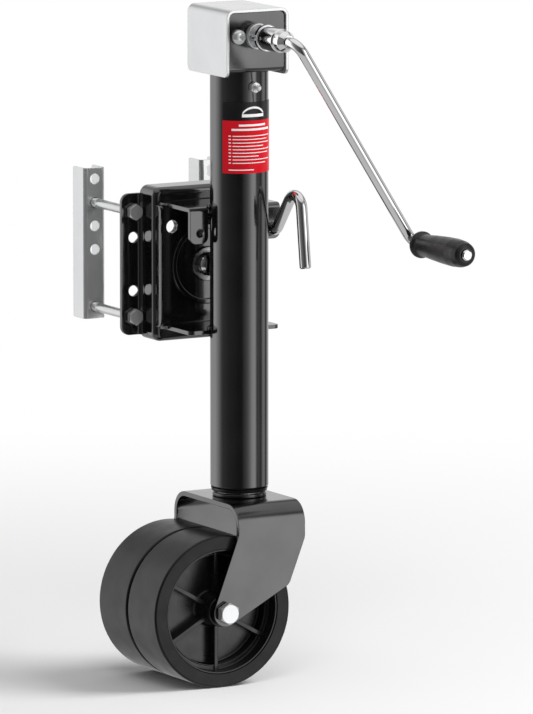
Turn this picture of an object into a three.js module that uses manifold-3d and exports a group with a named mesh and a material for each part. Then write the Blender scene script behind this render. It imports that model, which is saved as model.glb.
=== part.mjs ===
// Swivel-mount trailer tongue jack with a twin-wheel caster and a removable hand crank.
// Millimetres. X runs along the trailer rail, -Y points outward from the rail to the crank, Z is up.
// The origin is the centre of the four rail bolts, on the back plane of the mount's flanges.
import * as THREE from 'three';
import { mergeVertices } from 'three/addons/utils/BufferGeometryUtils.js';
import Module from 'manifold-3d';

const wasm = await Module();
wasm.setup();

// ---- driving dimensions ----
const GAP = 0.3; // left between two solids that touch on the real object
const RUN = 0.1; // radial clearance of a shaft that turns or slides in a bore

const TUBE_Y = -99; // axis of the jack's tubes
const TUBE_R = 28.575;
const TUBE_BORE = 25.4;
const TUBE_BOTTOM = -212;
const TUBE_SIDES = 40; // all nested tubes share it, so their flats stay parallel
const INNER_R = 23.5;
const INNER_BORE = 20;
const INNER_TOP = 150;
const INNER_BOTTOM = -217;

const HEAD_BOTTOM = 199;
const HEAD_TOP = 261;
const HEAD_HALF_X = 34.4;
const HEAD_FRONT = -136;
const HEAD_BACK = -57;
const COVER_WALL = 3;
const COVER_SKIRT = 3.5; // how far the cover's sides hang below the base plate
const CASE_WALL = 3.2;
const CASE_INSET = 2.4; // front and rear walls stand this far inside the cover's edges
const SHAFT_Z = 234.5;
const SHAFT_R = 5.5;

const PAN_DEPTH = 30; // mount face in front of the flanges' back plane
const PAN_HALF_X = 56.6;
const PAN_TOP = 77.5;
const PAN_BOTTOM = -75;
const SHEET = 4; // mount and swivel bracket sheet
const FLANGE_HALF_X = 79;
const FLANGE_HALF_Z = 70.2;
const RAIL_BOLT_X = 65.6;
const RAIL_BOLT_Z = 52;
const SPARE_HOLE_Z = 26.5;
const RAIL_BOLT_R = 4.75;
const RAIL_HOLE_R = 5.3;
const CHANNEL_Y = 75; // front of the backing channels: a 75 mm (3 in) rail fits in front of it
const CHANNEL_SHEET = 3;
const LOCK = 39; // lock holes stand this far from the pivot, in X and Z
const LOCK_HOLE_R = 6.3;
const PIVOT_R = 7.9;

const PLATE_HALF_X = 57.5; // swivel bracket's plate
const SHELF_HALF_X = 50.5; // its two shelves and the tabs
const PLATE_TOP = 64;
const PLATE_BOTTOM = -61;
const PLATE_BACK = -PAN_DEPTH - 0.5;
const PLATE_FRONT = PLATE_BACK - SHEET;
const TAB_FRONT = TUBE_Y + 8;
const PIN_R = 5.7;

const FORK_TOP = -221;
const FORK_SHEET = 4.8;
const FORK_HALF_Y = 64.8;
const FORK_BEND = 21;
const AXLE_X = -51;
const AXLE_Z = -324;
const AXLE_R = 6.35;
const WHEEL_R = 75;
const WHEEL_WIDTH = 56;
const WHEEL_GAP = 2.4;
const KINGPIN_R = 8;

const CRANK_REACH = 236; // from the shaft's axis to the grip's axis
const CRANK_LEAN = 32; // degrees the resting arm leans from straight down, towards +X
const CRANK_PLANE = 115; // arm's distance outward from the tube axis
const ROD_R = 5.4;
const GRIP_START = 136;
const GRIP_LENGTH = 86;

// bevel pair, both cones pointing to where the shaft axis crosses the tube axis
const GEAR_TEETH = 20;
const PINION_TEETH = 10;
const GEAR_PITCH_R = 24;
const PINION_PITCH_R = 12;
const FACE_WIDTH = 7;
const ADDENDUM = 1.6;
const DEDENDUM = 2.4;
const HALF_TOOTH = 1.6; // half a tooth's thickness on the pitch cone

// ---- materials ----
const paint = (color, roughness, metalness) =>
  new THREE.MeshStandardMaterial({ color, roughness, metalness });
const BLACK = paint(0x0c0c0d, 0.3, 0.35);
const PLATED = paint(0x9a9a9c, 0.25, 1);
const ZINC = paint(0xd4d6da, 0.28, 1);
const CHROME = paint(0xc8c8ca, 0.15, 1);
const STEEL = paint(0x77787a, 0.45, 0.9);
const BRONZE = paint(0x9a7440, 0.45, 0.9);
const RUBBER = paint(0x1a1a1a, 0.7, 0);
const TREAD = paint(0x2a2a2b, 0.65, 0);
const RED = paint(0xc01222, 0.45, 0);

// ---- building blocks ----
const out = (n) => TUBE_Y - n; // Y of a point n millimetres outward from the tube axis
const rad = THREE.MathUtils.degToRad;

function solid(geometry) {
  const bare = geometry.index ? geometry.toNonIndexed() : geometry.clone();
  bare.deleteAttribute('normal');
  bare.deleteAttribute('uv');
  const merged = mergeVertices(bare, 1e-4);
  const at = merged.attributes.position.array;
  const kept = [];
  let volume = 0;
  for (let i = 0; i < merged.index.count; i += 3) {
    const [a, b, c] = [0, 1, 2].map((k) => merged.index.array[i + k]);
    if (a === b || b === c || c === a) continue;
    kept.push(a, b, c);
    const [p, q, r] = [a, b, c].map((k) => new THREE.Vector3().fromArray(at, 3 * k));
    volume += p.dot(q.cross(r));
  }
  const tris = volume < 0 ? kept.reverse() : kept;
  return new wasm.Manifold(
    new wasm.Mesh({
      numProp: 3,
      vertProperties: new Float32Array(at),
      triVerts: new Uint32Array(tris),
    }),
  );
}

function geometryOf(body) {
  const mesh = body.getMesh();
  const geometry = new THREE.BufferGeometry();
  const positions = new Float32Array(mesh.numVert * 3);
  for (let i = 0; i < mesh.numVert; i++) {
    for (let k = 0; k < 3; k++) positions[3 * i + k] = mesh.vertProperties[mesh.numProp * i + k];
  }
  geometry.setAttribute('position', new THREE.BufferAttribute(positions, 3));
  geometry.setIndex(new THREE.BufferAttribute(new Uint32Array(mesh.triVerts), 1));
  return geometry;
}

const join = (bodies) => bodies.reduce((sum, body) => sum.add(body));
const cut = (body, tools) => tools.reduce((rest, tool) => rest.subtract(tool), body);

// A closed shape from corners [u, v] or [u, v, radius]; a radius rounds that corner.
function outline(corners) {
  const shape = new THREE.Shape();
  const count = corners.length;
  corners.forEach(([u, v, radius = 0], i) => {
    const here = new THREE.Vector2(u, v);
    if (!radius) {
      if (i) shape.lineTo(u, v);
      else shape.moveTo(u, v);
      return;
    }
    const before = new THREE.Vector2(...corners[(i + count - 1) % count]).sub(here).normalize();
    const after = new THREE.Vector2(...corners[(i + 1) % count]).sub(here).normalize();
    const half = Math.acos(THREE.MathUtils.clamp(before.dot(after), -1, 1)) / 2;
    const reach = radius / Math.tan(half);
    const start = here.clone().addScaledVector(before, reach);
    const end = here.clone().addScaledVector(after, reach);
    const centre = here
      .clone()
      .addScaledVector(before.clone().add(after).normalize(), radius / Math.sin(half));
    if (i) shape.lineTo(start.x, start.y);
    else shape.moveTo(start.x, start.y);
    const from = start.clone().sub(centre).angle();
    const to = end.clone().sub(centre).angle();
    const clockwise = before.cross(after) > 0;
    shape.absarc(centre.x, centre.y, radius, from, to, clockwise);
  });
  shape.closePath();
  return shape;
}

const box = (u0, u1, v0, v1, radius = 0) =>
  outline([
    [u0, v0, radius],
    [u1, v0, radius],
    [u1, v1, radius],
    [u0, v1, radius],
  ]);

function circle(u, v, radius) {
  const shape = new THREE.Shape();
  shape.absarc(u, v, radius, 0, 2 * Math.PI, false);
  return shape;
}

const extruded = (shape, depth, curveSegments) =>
  new THREE.ExtrudeGeometry(shape, { depth, bevelEnabled: false, curveSegments });

// Shape in (X, Y), swept from z0 to z1.
const alongZ = (shape, z0, z1, curveSegments = 3) =>
  solid(extruded(shape, z1 - z0, curveSegments).translate(0, 0, z0));

// Shape in (X, Z), swept from y0 to y1.
const alongY = (shape, y0, y1, curveSegments = 3) =>
  solid(extruded(shape, y1 - y0, curveSegments).rotateX(Math.PI / 2).translate(0, y1, 0));

// Shape in (Y, Z), swept from x0 to x1.
function alongX(shape, x0, x1, curveSegments = 3) {
  const turn = new THREE.Matrix4().makeBasis(
    new THREE.Vector3(0, 1, 0),
    new THREE.Vector3(0, 0, 1),
    new THREE.Vector3(1, 0, 0),
  );
  return solid(extruded(shape, x1 - x0, curveSegments).applyMatrix4(turn).translate(x0, 0, 0));
}

const lathe = (profile, segments) =>
  new THREE.LatheGeometry(profile.map(([r, h]) => new THREE.Vector2(r, h)), segments);

// Profile of [radius, z] turned about the vertical line through (x, y).
const roundZ = (profile, x, y, segments = 20) =>
  solid(lathe(profile, segments).rotateX(Math.PI / 2).translate(x, y, 0));

// Profile of [radius, y] turned about the line through (x, z) that runs along Y.
const roundY = (profile, x, z, segments = 20) =>
  solid(lathe(profile, segments).translate(x, 0, z));

const rod = (radius, h0, h1) => [
  [0, h0],
  [radius, h0],
  [radius, h1],
  [0, h1],
];

const ring = (inner, outer, h0, h1) => [
  [inner, h0],
  [outer, h0],
  [outer, h1],
  [inner, h1],
  [inner, h0],
];

const holeY = (radius, x, z, y0, y1, segments = 14) => roundY(rod(radius, y0, y1), x, z, segments);

// A round rod of the given radius along a path of points; bends[i] rounds the corner at point i + 1.
function bentRod(points, radius, bends, steps, sides = 12) {
  const route = [points[0]];
  for (let i = 1; i < points.length - 1; i++) {
    const here = points[i];
    const bend = bends[i - 1];
    const before = points[i - 1].clone().sub(here).normalize();
    const after = points[i + 1].clone().sub(here).normalize();
    const half = before.angleTo(after) / 2;
    const inward = before.clone().add(after).normalize();
    const centre = here.clone().addScaledVector(inward, bend / Math.sin(half));
    const reach = bend / Math.tan(half);
    const start = here.clone().addScaledVector(before, reach).sub(centre);
    const end = here.clone().addScaledVector(after, reach).sub(centre);
    const turn = start.angleTo(end);
    const pieces = Math.ceil(turn / rad(15));
    for (let k = 0; k <= pieces; k++) {
      const [a, b] = [Math.sin(turn * (1 - k / pieces)), Math.sin((turn * k) / pieces)];
      const spoke = start.clone().multiplyScalar(a).addScaledVector(end, b);
      route.push(centre.clone().addScaledVector(spoke, 1 / Math.sin(turn)));
    }
  }
  route.push(points[points.length - 1]);
  const path = new THREE.CurvePath();
  for (let i = 1; i < route.length; i++) path.add(new THREE.LineCurve3(route[i - 1], route[i]));
  const geometry = new THREE.ExtrudeGeometry(circle(0, 0, radius), {
    steps,
    extrudePath: path,
    curveSegments: sides / 2,
    bevelEnabled: false,
  });
  return solid(geometry);
}

const jack = new THREE.Group();
jack.name = 'trailer_tongue_jack';

function add(name, body, material) {
  const mesh = new THREE.Mesh(geometryOf(body), material);
  mesh.name = name;
  jack.add(mesh);
}

// ---- mount bracket: a drawn pan with two bolting flanges ----
function mountBracket() {
  const faceY = -PAN_DEPTH;
  const pan = (inset, back) => {
    const half = PAN_HALF_X - inset;
    const [low, high] = [PAN_BOTTOM + inset, PAN_TOP - inset];
    const bend = 6 - 0.8 * inset;
    const plan = outline([
      [-half, faceY + inset, bend],
      [half, faceY + inset, bend],
      [half, back],
      [-half, back],
    ]);
    const side = outline([
      [faceY + inset, low, bend],
      [back, low],
      [back, high],
      [faceY + inset, high, bend],
    ]);
    return alongZ(plan, low, high).intersect(alongX(side, -half, half));
  };
  const flanges = alongY(
    box(-FLANGE_HALF_X, FLANGE_HALF_X, -FLANGE_HALF_Z, FLANGE_HALF_Z, 9),
    -SHEET,
    0,
  );
  const holes = [];
  for (const side of [-1, 1]) {
    for (const z of [-RAIL_BOLT_Z, -SPARE_HOLE_Z, SPARE_HOLE_Z, RAIL_BOLT_Z]) {
      holes.push(holeY(RAIL_HOLE_R, side * RAIL_BOLT_X, z, -SHEET - 1, 1));
    }
    for (const z of [-LOCK, LOCK]) {
      holes.push(holeY(LOCK_HOLE_R, side * LOCK, z, faceY - 1, faceY + SHEET + 1));
    }
  }
  holes.push(holeY(PIVOT_R + GAP, 0, 0, faceY - 1, faceY + SHEET + 1));
  return cut(pan(0, 0).add(flanges), [pan(SHEET, 5), ...holes]);
}
add('mount_bracket', mountBracket(), BLACK);

// ---- backing channels behind the rail ----
function backingChannel(x) {
  const half = 12;
  const depth = 24;
  const [front, back] = [CHANNEL_Y, CHANNEL_Y + depth];
  const inner = half - CHANNEL_SHEET;
  const profile = outline([
    [x - half, front, 4.5],
    [x + half, front, 4.5],
    [x + half, back],
    [x + inner, back],
    [x + inner, front + CHANNEL_SHEET, 1.5],
    [x - inner, front + CHANNEL_SHEET, 1.5],
    [x - inner, back],
    [x - half, back],
  ]);
  const pitch = 23.5;
  const rows = [RAIL_BOLT_Z + pitch, RAIL_BOLT_Z, RAIL_BOLT_Z - pitch];
  const levels = [...rows, RAIL_BOLT_Z - 2 * pitch, -RAIL_BOLT_Z];
  const holes = levels.map((z) => holeY(RAIL_HOLE_R, x, z, front - 1, front + CHANNEL_SHEET + 1));
  return cut(alongZ(profile, -64, 86.5), holes);
}
add('backing_channel_left', backingChannel(-RAIL_BOLT_X), ZINC);
add('backing_channel_right', backingChannel(RAIL_BOLT_X), ZINC);

// ---- long rail bolts and their nuts ----
const HEX = 2 / Math.sqrt(3); // corner radius of a hexagon over its half width

// A hexagon bolt along Y: head from y0 towards the rail, then the shank to y1.
const hexBolt = (x, z, y0, head, halfWidth, shank, y1) =>
  join([
    roundY(rod(halfWidth * HEX, y0, y0 + head), x, z, 6).intersect(
      roundY(
        [
          [0, y0 - 1],
          [halfWidth * 0.8, y0 - 0.2],
          [halfWidth * HEX + 0.3, y0 + 1.6],
          [halfWidth * HEX + 0.3, y0 + head + 1],
          [0, y0 + head + 1],
        ],
        x,
        z,
        12,
      ),
    ),
    roundY(
      [
        [0, y0 + head / 2],
        [shank, y0 + head / 2],
        [shank, y1 - 1],
        [shank - 1, y1],
        [0, y1],
      ],
      x,
      z,
      12,
    ),
  ]);

const hexNut = (x, z, y0, y1, halfWidth, bore) =>
  roundY(rod(halfWidth * HEX, y0, y1), x, z, 6)
    .intersect(
      roundY(
        [
          [0, y0],
          [halfWidth * HEX + 0.3, y0],
          [halfWidth * HEX + 0.3, y1 - 1.6],
          [halfWidth * 0.8, y1 + 0.2],
          [0, y1 + 1],
        ],
        x,
        z,
        12,
      ),
    )
    .subtract(holeY(bore, x, z, y0 - 1, y1 + 1, 12));

const RAIL_HEAD = 6.2;
const RAIL_HALF_WIDTH = 7.15;
for (const [row, z] of [
  ['upper', RAIL_BOLT_Z],
  ['lower', -RAIL_BOLT_Z],
]) {
  for (const [hand, x] of [
    ['left', -RAIL_BOLT_X],
    ['right', RAIL_BOLT_X],
  ]) {
    const headY = -SHEET - GAP - RAIL_HEAD;
    const nutY = CHANNEL_Y + CHANNEL_SHEET + GAP;
    const bolt = hexBolt(x, z, headY, RAIL_HEAD, RAIL_HALF_WIDTH, RAIL_BOLT_R, nutY + 13);
    add(`rail_bolt_${row}_${hand}`, bolt, ZINC);
    const nut = hexNut(x, z, nutY, nutY + 8.2, RAIL_HALF_WIDTH, RAIL_BOLT_R + GAP);
    add(`rail_nut_${row}_${hand}`, nut, ZINC);
  }
}

// ---- pivot that carries the jack on the mount ----
const WASHER_Y = PLATE_FRONT - GAP;
const WASHER_THICK = 2.5;
const pivotHeadY = WASHER_Y - WASHER_THICK - GAP;
add('pivot_washer', roundY(ring(PIVOT_R + GAP, 17, WASHER_Y - WASHER_THICK, WASHER_Y), 0, 0, 24), STEEL);
add(
  'pivot_bolt',
  roundY(
    [
      [0, pivotHeadY - 8.5],
      [4.5, pivotHeadY - 8],
      [8.5, pivotHeadY - 6],
      [11, pivotHeadY - 3],
      [11.8, pivotHeadY],
      [PIVOT_R, pivotHeadY],
      [PIVOT_R, -11],
      [PIVOT_R - 1.2, -9.8],
      [0, -9.8],
    ],
    0,
    0,
    24,
  ),
  CHROME,
);
add('pivot_nut', hexNut(0, 0, -PAN_DEPTH + SHEET + GAP, -13, 12, PIVOT_R + 2 * GAP), ZINC);

// ---- swivel bracket, welded to the outer tube ----
function swivelBracket() {
  const web = alongY(
    box(-PLATE_HALF_X, PLATE_HALF_X, PLATE_BOTTOM, PLATE_TOP, 5),
    PLATE_FRONT,
    PLATE_BACK,
  );
  const shelfPlan = outline([
    [-SHELF_HALF_X, PLATE_BACK, 3],
    [-SHELF_HALF_X, TAB_FRONT, 6],
    [SHELF_HALF_X, TAB_FRONT, 6],
    [SHELF_HALF_X, PLATE_BACK, 3],
  ]);
  const topShelf = alongZ(shelfPlan, PLATE_TOP - SHEET, PLATE_TOP);
  const bottomShelf = alongZ(shelfPlan, PLATE_BOTTOM, PLATE_BOTTOM + SHEET);
  const parts = [web, topShelf, bottomShelf];
  const holes = [roundZ(rod(TUBE_R + GAP + 0.1, PLATE_BOTTOM - 1, PLATE_TOP + 1), 0, TUBE_Y, 36)];
  for (const side of [-1, 1]) {
    const lipX = [side * PLATE_HALF_X, side * (PLATE_HALF_X - SHEET)].sort((a, b) => a - b);
    const lip = outline([
      [PLATE_BACK, PLATE_BOTTOM + 0.5],
      [PLATE_BACK, PLATE_TOP - 0.5],
      [PLATE_FRONT - 22, PLATE_TOP - 0.5],
      [PLATE_FRONT - 10, PLATE_TOP - 14, 6],
      [PLATE_FRONT - 10, PLATE_BOTTOM + 14, 6],
      [PLATE_FRONT - 22, PLATE_BOTTOM + 0.5],
    ]);
    parts.push(alongX(lip, lipX[0], lipX[1]));
    const tabX = [side * 30, side * SHELF_HALF_X].sort((a, b) => a - b);
    const tab = outline([
      [tabX[0], 28.5, 8],
      [tabX[1], 28.5, 8],
      [tabX[1], PLATE_TOP, 5],
      [tabX[0], PLATE_TOP],
    ]);
    parts.push(alongY(tab, TAB_FRONT, TAB_FRONT + SHEET));
    const tabHole = side < 0 ? 4.2 : LOCK_HOLE_R;
    holes.push(holeY(tabHole, side * LOCK, LOCK, TAB_FRONT - 1, TAB_FRONT + SHEET + 1));
    holes.push(holeY(LOCK_HOLE_R, side * LOCK, LOCK, PLATE_FRONT - 1, PLATE_BACK + 1));
  }
  parts.push(roundY(ring(34.5, 40, PLATE_FRONT - 2, PLATE_FRONT + 1), 0, 0, 36));
  holes.push(holeY(PIVOT_R + RUN, 0, 0, PLATE_FRONT - 1, PLATE_BACK + 1, 24));
  return cut(join(parts), holes);
}
add('swivel_bracket', swivelBracket(), BLACK);

// ---- outer tube with its label, grease fitting and lower guide bush ----
const FITTING_Z = 184;
const outerTube = roundZ(
  [
    [TUBE_BORE, TUBE_BOTTOM],
    [TUBE_R - 2, TUBE_BOTTOM],
    [TUBE_R - 0.5, TUBE_BOTTOM + 0.7],
    [TUBE_R, TUBE_BOTTOM + 2.2],
    [TUBE_R, HEAD_BOTTOM - GAP],
    [TUBE_BORE, HEAD_BOTTOM - GAP],
    [TUBE_BORE, TUBE_BOTTOM],
  ],
  0,
  TUBE_Y,
  TUBE_SIDES,
);
const fittingHole = holeY(4.2, 0, FITTING_Z, out(TUBE_R + 2), out(TUBE_BORE - 2), 20);
add('outer_tube', outerTube.subtract(fittingHole), BLACK);

function labelBand() {
  const [low, high, sweep] = [99.8, 169.5, rad(127)];
  const start = -Math.PI / 2 - sweep / 2;
  const section = new THREE.Shape();
  section.absarc(0, TUBE_Y, TUBE_R + GAP + 0.35, start, start + sweep, false);
  section.absarc(0, TUBE_Y, TUBE_R + GAP, start + sweep, start, true);
  section.closePath();
  return alongZ(section, low, high, 17);
}
add('label_band', labelBand(), RED);

const fittingFoot = out(TUBE_R + GAP);
add(
  'grease_fitting',
  join([
    roundY(
      [
        [0, out(TUBE_R + 11.5)],
        [2, out(TUBE_R + 11.5)],
        [3.2, out(TUBE_R + 10)],
        [2.4, out(TUBE_R + 8.4)],
        [2.4, out(TUBE_R + 5)],
        [3.9, out(TUBE_R + 4)],
        [3.9, out(TUBE_BORE + 0.4)],
        [0, out(TUBE_BORE + 0.4)],
      ],
      0,
      FITTING_Z,
      20,
    ),
    roundY(rod(5.6, fittingFoot - 4.6, fittingFoot), 0, FITTING_Z, 6),
  ]),
  ZINC,
);

add(
  'guide_bush_lower',
  roundZ(
    [
      [INNER_R + RUN, TUBE_BOTTOM - GAP - 3.6],
      [TUBE_R - 1.6, TUBE_BOTTOM - GAP - 3.6],
      [TUBE_R - 0.6, TUBE_BOTTOM - GAP - 2.6],
      [TUBE_R - 0.6, TUBE_BOTTOM - GAP],
      [TUBE_BORE - GAP, TUBE_BOTTOM - GAP],
      [TUBE_BORE - GAP, TUBE_BOTTOM + 32],
      [INNER_R + RUN, TUBE_BOTTOM + 32],
      [INNER_R + RUN, TUBE_BOTTOM - GAP - 3.6],
    ],
    0,
    TUBE_Y,
    TUBE_SIDES,
  ),
  RUBBER,
);

// ---- head: gear case folded from one sheet, under an inverted-U cover ----
const coverInside = HEAD_HALF_X - COVER_WALL;
function headCover() {
  const corner = 8;
  const foot = HEAD_BOTTOM - COVER_SKIRT;
  const arch = outline([
    [-HEAD_HALF_X, foot],
    [-coverInside, foot],
    [-coverInside, HEAD_TOP - COVER_WALL, corner - COVER_WALL],
    [coverInside, HEAD_TOP - COVER_WALL, corner - COVER_WALL],
    [coverInside, foot],
    [HEAD_HALF_X, foot],
    [HEAD_HALF_X, HEAD_TOP, corner],
    [-HEAD_HALF_X, HEAD_TOP, corner],
  ]);
  const side = outline([
    [HEAD_FRONT, foot, 6],
    [HEAD_BACK, foot, 6],
    [HEAD_BACK, HEAD_TOP + 1],
    [HEAD_FRONT, HEAD_TOP + 1],
  ]);
  return alongY(arch, HEAD_FRONT, HEAD_BACK, 7).intersect(
    alongX(side, -HEAD_HALF_X - 1, HEAD_HALF_X + 1),
  );
}
add('head_cover', headCover(), ZINC);

const wallFront = HEAD_FRONT + CASE_INSET;
const wallBack = HEAD_BACK - CASE_INSET;
const CASE_SCREW_X = 20.6;
function gearCase() {
  const top = HEAD_TOP - COVER_WALL - GAP;
  const profile = outline([
    [wallFront, HEAD_BOTTOM, 5],
    [wallBack, HEAD_BOTTOM, 5],
    [wallBack, top],
    [wallBack - CASE_WALL, top],
    [wallBack - CASE_WALL, HEAD_BOTTOM + CASE_WALL, 2],
    [wallFront + CASE_WALL, HEAD_BOTTOM + CASE_WALL, 2],
    [wallFront + CASE_WALL, top],
    [wallFront, top],
  ]);
  const half = coverInside - GAP;
  const holes = [
    roundZ(rod(10, HEAD_BOTTOM - 1, HEAD_BOTTOM + CASE_WALL + 1), 0, TUBE_Y, 24),
    holeY(9.6, 0, SHAFT_Z, wallFront - 1, wallFront + CASE_WALL + 1),
    holeY(9.6, 0, SHAFT_Z, wallBack - CASE_WALL - 1, wallBack + 1),
  ];
  for (const x of [-CASE_SCREW_X, CASE_SCREW_X]) {
    holes.push(holeY(4.1, x, SHAFT_Z, wallFront - 1, wallFront + CASE_WALL + 1));
  }
  // The walls' top corners follow the cover's inside bends.
  const front = outline([
    [-half, HEAD_BOTTOM - 1],
    [half, HEAD_BOTTOM - 1],
    [half, top, 6],
    [-half, top, 6],
  ]);
  const walls = alongX(profile, -half, half).intersect(alongY(front, wallFront - 1, wallBack + 1));
  return cut(walls, holes);
}
add('gear_case', gearCase(), PLATED);

// Domed screws in the front wall.
for (const [hand, x] of [
  ['left', -CASE_SCREW_X],
  ['right', CASE_SCREW_X],
]) {
  const under = wallFront - GAP;
  const screw = roundY(
    [
      [0, under - 5.2],
      [3, under - 4.8],
      [5.6, under - 3.4],
      [7.2, under - 1.2],
      [7.4, under],
      [3.8, under],
      [3.8, wallFront + 9],
      [0, wallFront + 9],
    ],
    x,
    SHAFT_Z,
    24,
  );
  add(`case_screw_${hand}`, screw, ZINC);
}

add(
  'shaft_bush_front',
  roundY(
    [
      [SHAFT_R + RUN, wallFront - 6],
      [12, wallFront - 6],
      [13, wallFront - 5],
      [13, wallFront - GAP],
      [9.3, wallFront - GAP],
      [9.3, wallFront + CASE_WALL],
      [SHAFT_R + RUN, wallFront + CASE_WALL],
      [SHAFT_R + RUN, wallFront - 6],
    ],
    0,
    SHAFT_Z,
    24,
  ),
  ZINC,
);
add(
  'shaft_bush_rear',
  roundY(
    [
      [SHAFT_R + RUN, wallBack - CASE_WALL - GAP - 2],
      [12.5, wallBack - CASE_WALL - GAP - 2],
      [12.5, wallBack - CASE_WALL - GAP],
      [9.3, wallBack - CASE_WALL - GAP],
      [9.3, wallBack],
      [SHAFT_R + RUN, wallBack],
      [SHAFT_R + RUN, wallBack - CASE_WALL - GAP - 2],
    ],
    0,
    SHAFT_Z,
    24,
  ),
  BRONZE,
);

const SCREW_R = 9;
const floorZ = HEAD_BOTTOM + CASE_WALL;
add(
  'thrust_bearing',
  roundZ(ring(SCREW_R + RUN, 19, floorZ + GAP, floorZ + GAP + 6), 0, TUBE_Y, 24),
  STEEL,
);

// ---- bevel pair ----
// Tooth outline on the plane `reach` from the cone's tip, drawn towards and away from the tip.
function toothedCone(teeth, pitchR, reach, toothAtZero) {
  const coneLength = Math.hypot(pitchR, reach);
  const pitchAngle = Math.atan2(pitchR, reach);
  const tip = reach * Math.tan(pitchAngle + Math.atan(ADDENDUM / coneLength));
  const root = reach * Math.tan(pitchAngle - Math.atan(DEDENDUM / coneLength));
  const flank = Math.tan(rad(20));
  const narrow = HALF_TOOTH - ADDENDUM * flank;
  const wide = HALF_TOOTH + DEDENDUM * flank;
  const tipTurn = narrow / (pitchR + ADDENDUM * Math.cos(pitchAngle));
  const rootTurn = wide / (pitchR - DEDENDUM * Math.cos(pitchAngle));
  const ringPoints = [];
  for (let i = 0; i < teeth; i++) {
    const middle = ((i + (toothAtZero ? 0 : 0.5)) * 2 * Math.PI) / teeth;
    for (const [r, turn] of [
      [root, -rootTurn],
      [tip, -tipTurn],
      [tip, tipTurn],
      [root, rootTurn],
    ]) {
      ringPoints.push([r * Math.cos(middle + turn), r * Math.sin(middle + turn)]);
    }
  }
  const scales = [0.45, 2.3];
  const points = scales.flatMap((s) => [
    0,
    0,
    s * reach,
    ...ringPoints.flatMap(([u, v]) => [s * u, s * v, s * reach]),
  ]);
  const count = ringPoints.length;
  const faces = [];
  for (let i = 0; i < count; i++) {
    const [a, b] = [1 + i, 1 + ((i + 1) % count)];
    const [c, d] = [a + count + 1, b + count + 1];
    faces.push(0, b, a, count + 1, c, d, a, b, d, a, d, c);
  }
  const geometry = new THREE.BufferGeometry();
  geometry.setAttribute('position', new THREE.Float32BufferAttribute(points, 3));
  geometry.setIndex(faces);
  return geometry;
}

// Corners of a bevel blank's toothed rim as [radius, distance from the tip], from the back to the inner end.
function bevelRim(pitchR, reach) {
  const coneLength = Math.hypot(pitchR, reach);
  const [along, across] = [pitchR / coneLength, reach / coneLength];
  const rimPoint = (distance, height) => [
    along * distance + across * height,
    across * distance - along * height,
  ];
  const near = coneLength - FACE_WIDTH;
  const shrink = near / coneLength;
  const over = ADDENDUM + 0.2;
  const under = DEDENDUM + 0.8;
  return [
    rimPoint(coneLength, -under),
    rimPoint(coneLength, over),
    rimPoint(near, over * shrink),
    rimPoint(near, -under * shrink),
  ];
}

// The gear's axis is the tube axis; its cone opens downward from the shaft axis.
const gearRim = bevelRim(GEAR_PITCH_R, PINION_PITCH_R).map(([r, d]) => [r, SHAFT_Z - d]);
const hubBottom = floorZ + 2 * GAP + 6;
const gearBlank = roundZ(
  [
    [SCREW_R + GAP, hubBottom],
    [15, hubBottom],
    [15, hubBottom + 6],
    ...gearRim,
    [SCREW_R + GAP, gearRim[3][1]],
    [SCREW_R + GAP, hubBottom],
  ],
  0,
  TUBE_Y,
  2 * GEAR_TEETH,
);
const gearTeeth = solid(
  toothedCone(GEAR_TEETH, GEAR_PITCH_R, PINION_PITCH_R, false)
    .rotateX(Math.PI)
    .rotateZ(Math.PI / 2)
    .translate(0, TUBE_Y, SHAFT_Z),
);
const GEAR_PIN_Z = hubBottom + 3;
const gearPinHole = (radius) => alongX(circle(TUBE_Y, GEAR_PIN_Z, radius), -20, 20, 5);
add('bevel_gear', gearBlank.intersect(gearTeeth).subtract(gearPinHole(2.3)), STEEL);
add('gear_pin', alongX(circle(TUBE_Y, GEAR_PIN_Z, 2), -14.5, 14.5, 5), STEEL);

const pinionRim = bevelRim(PINION_PITCH_R, GEAR_PITCH_R).map(([r, d]) => [r, out(d)]);
const pinionBlank = roundY(
  [
    [SHAFT_R + GAP, out(30.3)],
    [9, out(30.3)],
    ...pinionRim,
    [SHAFT_R + GAP, pinionRim[3][1]],
    [SHAFT_R + GAP, out(30.3)],
  ],
  0,
  SHAFT_Z,
  2 * PINION_TEETH,
);
const pinionTeeth = solid(
  toothedCone(PINION_TEETH, PINION_PITCH_R, GEAR_PITCH_R, true)
    .rotateZ(Math.PI / 2)
    .rotateX(Math.PI / 2)
    .translate(0, TUBE_Y, SHAFT_Z),
);
add('bevel_pinion', pinionBlank.intersect(pinionTeeth), STEEL);

// ---- drive shaft with its cross pin and collar ----
const SHAFT_HEX = 8.1;
const SHAFT_END = 82;
const shaftRound = roundY(
  [
    [0, out(-40.5)],
    [SHAFT_R - 0.8, out(-40.5)],
    [SHAFT_R, out(-39.7)],
    [SHAFT_R, out(62)],
    [0, out(62)],
  ].reverse(),
  0,
  SHAFT_Z,
);
const shaftHex = roundY(rod(SHAFT_HEX * HEX, out(SHAFT_END), out(58.2)), 0, SHAFT_Z, 6).intersect(
  roundY(
    [
      [0, out(SHAFT_END)],
      [SHAFT_HEX - 0.6, out(SHAFT_END)],
      [SHAFT_HEX * HEX, out(SHAFT_END - 1.6)],
      [SHAFT_HEX * HEX, out(58.2)],
      [0, out(58.2)],
    ],
    0,
    SHAFT_Z,
  ),
);
const DRIVE_PIN_N = 46.5;
const crossPin = (radius, reach) =>
  alongX(circle(out(DRIVE_PIN_N), SHAFT_Z, radius), -reach, reach, 8);
add('drive_shaft', cut(join([shaftRound, shaftHex]), [crossPin(2.9, 20)]), CHROME);
add('drive_pin', crossPin(2.6, 13.5), STEEL);
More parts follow.
